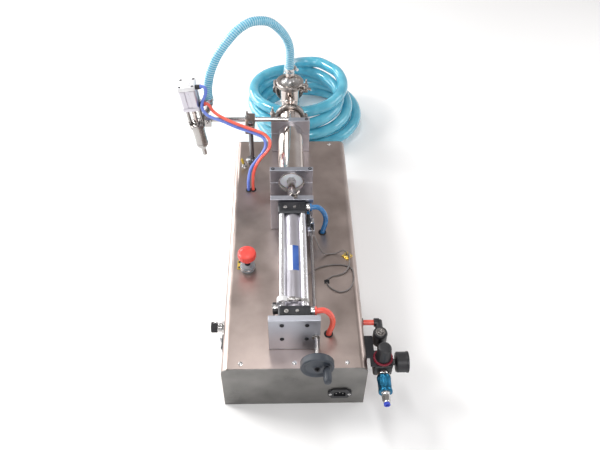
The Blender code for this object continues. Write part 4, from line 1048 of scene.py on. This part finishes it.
def hose_clamp(name, place, axis, radius, body, angle):
    """A worm-drive hose clamp: a band, its housing and its slotted hexagonal screw."""
    turn = turn_to(axis) @ spin(angle)
    worm = Shape().rod(3.2, -9, 10, axis="X", segments=24).hexagon(7, 9.6, 13.6, axis="X")
    (Shape().ring(radius, radius + 0.9, -5, 5, place, axis, 56, 0.3)
     .block((-7, radius + 0.4, -5.6), (7, radius + 6.4, 5.6), place, 1.3, turn)
     .take(worm.bm, place, turn @ Matrix.Translation((0, radius + 4.2, 0)))
     .make(name, NICKEL, body=body))


def hose_clamps():
    for name, place, axis, radius, body, angle in (
            ("outlet", (0, TEE_Y, 311), "Z", 11.6, "machine", -60),
            ("nozzle", (*NOZZLE_INLET, 297), "Z", 11.6, "nozzle_carrier", 150),
            ("suction", (0, 958, AXIS_Z), "Y", 16.6, "machine", 20)):
        hose_clamp(name + "_hose_clamp", place, axis, radius, body, angle)
    (Shape().ring(9.9, 11.5, 289, 304, (0, TEE_Y, 0), "Z", 48, 0.4)
     .make("outlet_tail_ridge", POLISHED_PAINTED_REFLECTION))


# Nozzle, arm and post

LEANED = Matrix.Translation((NOZZLE_X, ARM_Y, ARM_Z)) @ spin(NOZZLE_LEAN, "Y")


def nozzle():
    body = Shape().lathe([(4.2, -116), (5.8, -116), (6.2, -112), (6.2, -97), (7.4, -94),
        (14.6, -84), (16.2, -80), (16.2, -74), (15.6, -73), (15.6, -40), (16.2, -39),
        (16.2, -21.5), (20.8, -20.5), (20.8, -9.5), (19, -9), (5.4, -9), (5.4, -26), (12, -30),
        (12, -82), (4.2, -92)], segments=72, soft=0.7)
    for x in (-16, 16):
        body.rod(4.6, -12, 40, (x, 0, 0), "Z", 28).hexagon(11, -9, -4, (x, 0, 0))
    (body.ring(5.5, 9.5, -9.2, -3.5, segments=40).lean(LEANED)
     .tube([(-241, 688, 212), (-234, 702, 226), (-226, 706, 248), (-215, 706, 266),
            (*NOZZLE_INLET, 280), (*NOZZLE_INLET, 288)], 8.6, 2, 32)
     .ring(8.4, 10.4, -1, 2.5, (*NOZZLE_INLET, 282), "Z", 40)
     .make("nozzle_barrel", STEEL, "nozzle_body", "nozzle_carrier"))
    (Shape().lathe([(0, -91.5), (3.4, -90.5), (9, -83.5), (9, -78), (3.5, -74), (3.5, -30),
            (5, -27), (5, 70), (0, 70)], segments=40).hexagon(11, 18, 24).lean(LEANED)
     .make("nozzle_needle", POLISHED_PAINTED_REFLECTION, "nozzle_stem", "stem"))
    half, notch = 21, 1.8
    outline = [tuple(Matrix.Rotation(radians(90 * k), 2) @ Vector(corner)) for k in range(4)
        for corner in ((half, -17.5), (half, -6.5), (half - notch, -5.5), (half - notch, 5.5),
        (half, 6.5), (half, 17.5), (17.5, half))]
    (Shape().prism(outline, 52, 101).block((-21.4, -21.4, 40.4), (21.4, 21.4, 51.8), bevel=1.8)
     .lean(LEANED).make("nozzle_cylinder", BARREL, "nozzle_actuator", "nozzle_carrier"))
    (Shape().block((-21.4, -21.4, 101.2), (21.4, 21.4, 112.8), bevel=1.8)
     .ring(12.8, 15.6, 112.5, 113.6, soft=0.3)
     .lathe([(0, 112.6), (11.6, 112.6), (10.8, 114.2), (0, 114.4)], segments=48).lean(LEANED)
     .make("nozzle_cylinder_head", SATIN_WHITE, body="nozzle_carrier"))
    screws = Shape()
    for x in (-16, 16):
        for y in (-16, 16):
            screws.cap_screw((x, y, 112.4), "Z", 3.3, 1.2, 0.2)
    screws.lean(LEANED).make("nozzle_cylinder_screws", BLACK_STEEL, body="nozzle_carrier")
    for name, z_port, look in (("red", 52, TUBE_RED), ("blue", 104, TUBE_BLUE)):
        (Shape().hexagon(11, 21.2, 26, (0, -8, z_port), "X")
         .ring(4.1, 6.2, 25.6, 33.5, (0, -8, z_port), "X", 36, 0.6).lean(LEANED)
         .make("nozzle_port_" + name, BLACK, body="nozzle_carrier"))
        (Shape().lathe([(4.1, 33.2), (5.8, 33.2), (6.3, 35.8), (4.1, 36.2)], (0, -8, z_port), "X",
                36).lean(LEANED).make("nozzle_collet_" + name, look, body="nozzle_carrier"))


def arm_and_post():
    (Shape().rod(6, -214, -5, (0, ARM_Y, ARM_Z), "X", 48, 0.9)
     .make("arm_bar", STEEL_BAR, body="nozzle_carrier"))
    (Shape().prism([(-11, -15), (11, -15), (11, 6), (6, 10.5), (-6, 10.5), (-11, 6)], -223, -206,
            "X", (0, ARM_Y, ARM_Z), 1.4).hexagon(8, -12, -9, (-214, ARM_Y - 2.5, ARM_Z), "-Y")
     .cap_screw((-214.5, ARM_Y - 11, ARM_Z + 1), "-Y", 4.2, 4.6)
     .make("arm_holder", STEEL, "nozzle_arm", "nozzle_carrier"))
    (Shape().block((-117, 632, -12), (-93, 691, 12), (0, 0, ARM_Z), 2.4)
     .ring(6.4, 9, -12.8, 12.8, (-105, ARM_Y, ARM_Z), "X", 48, 0.5)
     .ring(6.4, 9.5, -12.6, 12.6, (POST_X, POST_Y, ARM_Z), "Z", 48, 0.5)
     .make("cross_block", CLAMP_BROWN, "cross_clamp"))
    bolt = Shape().rod(2.6, 214, 284, CROSS_BOLT, "Z", 20, 0.4)
    for k in range(18):
        bolt.ring(2.5, 3.0, 264.5 + k, 264.9 + k, CROSS_BOLT, "Z", 18, 0)
    (bolt.hexagon(10, 262.6, 268, CROSS_BOLT).ring(3, 6.5, 262.3, 263.4, CROSS_BOLT, "Z", 28, 0.2)
     .lathe([(0, 214), (4, 214), (5.2, 216), (5.2, 222), (4, 224), (0, 224)], CROSS_BOLT, "Z", 28)
     .make("cross_bolt", STEEL))
    # The post bar's dark colour is a painted reflection.
    (Shape().lathe([(0, TOP + 0.3), (17, TOP + 0.3), (17, TOP + 4.6), (15.6, TOP + 5.3),
            (8, TOP + 6.5), (6, TOP + 9), (6, 269), (5, 270), (0, 270)], (POST_X, POST_Y, 0), "Z",
            56, soft=0.6).make("post_bar", POST_STEEL_PAINTED_REFLECTION, "arm_post"))
    screws = Shape()
    for a in (45, 165, 285):
        x, y = 12 * cos(radians(a)), 12 * sin(radians(a))
        screws.cap_screw((POST_X + x, POST_Y + y, TOP + 5), "Z", 2.6, 1.8)
    screws.make("post_screws", NICKEL)


# Air preparation

def regulator():
    spot = (REG_X, REG_Y, 0)
    body = (Shape().block((-20, -20, 83), (20, 20, 115.5), spot, 4.5)
            .lathe([(0, 112), (18.2, 112), (16.8, 119), (16.8, 124), (0, 124)], spot, "Z", 64)
            .lathe([(0, 88), (16, 88), (16.4, 80), (13, 71), (10, 68), (0, 68)], spot, "Z", 64))
    for side in (-1, 1):
        body.rod(9, 19, 20.8, (REG_X, REG_Y, VALVE_Z), "Y" if side > 0 else "-Y", 40)
    body.make("regulator_case", BLACK, "regulator_body")
    dress("regulator_bracket", BLACK_STEEL, 0.4)
    screws = Shape()
    for y in (58, 78):
        screws.cap_screw((HALF_W + 2.3, y, 101), "X", 4.2, 3.6)
    screws.make("bracket_screws", NICKEL)
    (Shape().lathe([(17.2, 120.4), (21, 120.4), (21.4, 122), (20.2, 124.4), (17.2, 124.4)], spot,
            "Z", 120, flutes=24, depth=0.9, band=(120, 125)).make("regulator_ring", RED_RING))
    (Shape().lathe([(0, 124.8), (15.8, 124.8), (16.2, 127.5), (15.2, 131), (14.7, 155),
            (13.4, 160), (10.5, 161.8), (0, 162)], spot, "Z", 120, soft=0.9, flutes=24, depth=0.8,
            band=(131.5, 156)).make("regulator_dial", BLACK, "regulator_knob", "pressure_knob"))


def gauge():
    spot = (0, REG_Y, 104)
    (Shape().lathe([(0, 205.4), (5, 205.4), (5, 212), (12, 212.6), (20.4, 213.4), (21.6, 216),
            (21.6, 234), (22.2, 235), (22.2, 239), (18.6, 239), (18.6, 235.4), (0, 235.4)], spot,
            "X", 88, soft=0.7).hexagon(12, 205.6, 211, spot, "X")
     .make("gauge_case", BLACK, "pressure_gauge"))
    Shape().ring(21.7, 22.5, 236.4, 239.3, spot, "X", 88, 0.5).make("gauge_rim", BLACK_STEEL)
    Shape().rod(18.4, 235.3, 235.7, spot, "X", 72, 0).make("gauge_dial", LABEL_WHITE)
    ticks = Shape()
    for k in range(31):
        length, wide = (1.8, 0.22) if k % 5 else (3.4, 0.42)
        ticks.block((235.7, -wide, 16.4 - length), (235.95, wide, 16.4), spot, 0,
            spin(135 - 9 * k, "X"))
    ticks.make("gauge_ticks", BLACK)
    (Shape().prism([(-0.9, -5), (0.9, -5), (0.35, 14.6), (-0.35, 14.6)], 236.2, 236.7, "X", spot,
            0.1, spin(45, "X")).rod(2.4, 235.8, 237.5, spot, "X", 28)
     .make("gauge_pointer", RED_RING, "gauge_needle", "needle"))
    Shape().rod(18.5, 237.9, 238.6, spot, "X", 72, 0.1).make("gauge_window", GLASS)


def slide_valve():
    spot = (REG_X, 0, VALVE_Z)
    (Shape().lathe([(0, -15.5), (11, -15.5), (11.5, -12), (13.2, -11.5), (13.2, -5.4), (9.4, -5),
            (9.4, 34), (8.2, 36), (8.2, 40), (0, 40)], spot, "-Y", 64, soft=0.6)
     .hexagon(15, 39.5, 52, spot, "-Y").ring(4.2, 7.2, 51.5, 56.5, spot, "-Y", 48, 0.7)
     .make("slide_valve_core", NICKEL, "slide_valve_body"))
    (Shape().lathe([(4.2, 56.3), (6.4, 56.3), (6.9, 60.6), (6.0, 62), (4.2, 61.6)], spot, "-Y",
            48).make("slide_valve_collet", BLUE_CAP))
    (Shape().lathe([(9.8, -4.4), (13.6, -4.4), (14.6, -2.5), (14.6, 3), (13.9, 4), (13.9, 26),
            (14.6, 27), (14.6, 32), (13.8, 33.8), (9.8, 33.8)], spot, "-Y", 120, flutes=30,
            depth=0.55, band=(4.5, 25.5))
     .make("slide_valve_grip", SLEEVE, "slide_valve_sleeve", "shutoff_sleeve"))
    (Shape().lathe([(6.5, -20), (9, -20), (9, -15.3), (6.5, -15.3)], spot, "-Y", 48)
     .make("slide_valve_neck", GREY))


def elbow():
    x, y = 186, 97
    (Shape().lathe([(0, 88), (13.6, 88), (15.6, 91), (15.6, 122), (13.8, 126), (0, 126)],
            (x, y, 0), "Z", 64, soft=0.9).rod(7.4, 56.4, 90, (x, 0, VALVE_Z), "Y", 36)
     .rod(8.2, y, 134, (x, 0, 114), "Y", 40, 1.2)
     .ring(6.2, 9.6, -x - 1, -176, (0, 130, 114), "-X", 40)
     .make("elbow_case", BLACK, "regulator_elbow"))
    (Shape().lathe([(2.4, 127.2), (2.4, 129.2), (5.6, 129.2), (6, 126.2), (0.1, 126.2),
            (0.1, 127.2)], (x, y, 0), "Z", 40, soft=0.4)
     .ring(6.4, 10.5, 125.9, 126.6, (x, y, 0), "Z", 48, 0.2).make("elbow_bolt", STEEL))


# Metering

def metering():
    spot = (SCREW_X, 0, SCREW_Z)
    screw = Shape().rod(3.5, -22, 397, spot, "Y", 24, 0.4)
    pitch, turns = 2.0, 150
    helix = [(SCREW_X + 3.5 * cos(a), 64 + a / (2 * pi) * pitch, SCREW_Z + 3.5 * sin(a))
             for a in (2 * pi * k / 12 for k in range(turns * 12))]
    (screw.tube(helix, 0.55, 1.6, 5).rod(4, -20, 62, spot, "Y", 28, 0.4)
     .make("threaded_rod", STEEL_BAR, "lead_screw", "metering_screw"))
    (Shape().lathe([(0, 27.4), (8.4, 27.4), (9.4, 24.8), (14, 23.4), (24, 23.2), (28.4, 26.8),
            (31.4, 27.6), (33.5, 25.4), (33.5, 12.4), (31.6, 10.4), (26, 10.2), (23.4, 14),
            (12.4, 14.4), (11, 6.4), (4.4, 6.2), (4.4, 14), (0, 14)], spot, "-Y", 112, soft=1.3)
     .rod(6.4, 22, 25.4, CRANK, "-Y", 36, 0.8)
     .make("wheel_disc", WHEEL, "handwheel", "metering_screw"))
    (Shape().ring(3, 6.5, 27.2, 28.4, spot, "-Y", 36, 0.3).hexagon(8, 28, 31.6, spot, "-Y")
     .rod(2.2, 31, 33.6, spot, "-Y", 20, 0.4).rod(3, 24, 56, CRANK, "-Y", 24, 0.3)
     .make("wheel_nut", BLACK_STEEL, body="metering_screw"))
    (Shape().lathe([(3.3, 28.6), (6.2, 28.6), (7.4, 31), (8.4, 37), (8.3, 52), (7.6, 58),
            (6.4, 61), (3, 62), (0.1, 62.1), (0.1, 57), (3.3, 57)], CRANK, "-Y", 56, soft=1.0)
     .make("crank_knob", WHEEL, "crank_handle", "crank_grip"))
    dress("sensor_carriage", PLATE, 0.4)
    (Shape().block((33.8, 330, 209.4), (41.2, 366, 215.2), bevel=1.3)
     .block((42.5, 333, 195.4), (50, 349, 199.8), bevel=1.0)
     .make("carriage_reed_switch", BLACK, body="sensor_slide"))
    (Shape().block((34.2, 366, 209.8), (40.8, 375, 214.8), bevel=1.2)
     .make("carriage_reed_end", AIR_BLUE, body="sensor_slide"))
    (Shape().pan_screw((45.5, 358, 195), "Z", 3.6, 2.4)
     .block((41.2, 350, 195.1), (50.6, 368, 196.4), bevel=0.3)
     .cap_screw((43.5, 331.2, 181), "-Y", 3.0, 2.0)
     .make("carriage_clamp_screw", NICKEL, body="sensor_slide"))


for build in (camera_and_light, hoses, cabinet, emergency_stop, toggle_switch, power_inlet,
            left_wall, plates, air_cylinder, sensor_band, pistons, product_cylinder,
            sanitary_clamps, tee_and_tails, hose_clamps, nozzle, arm_and_post, regulator, gauge,
            slide_valve, elbow, metering):
    build()
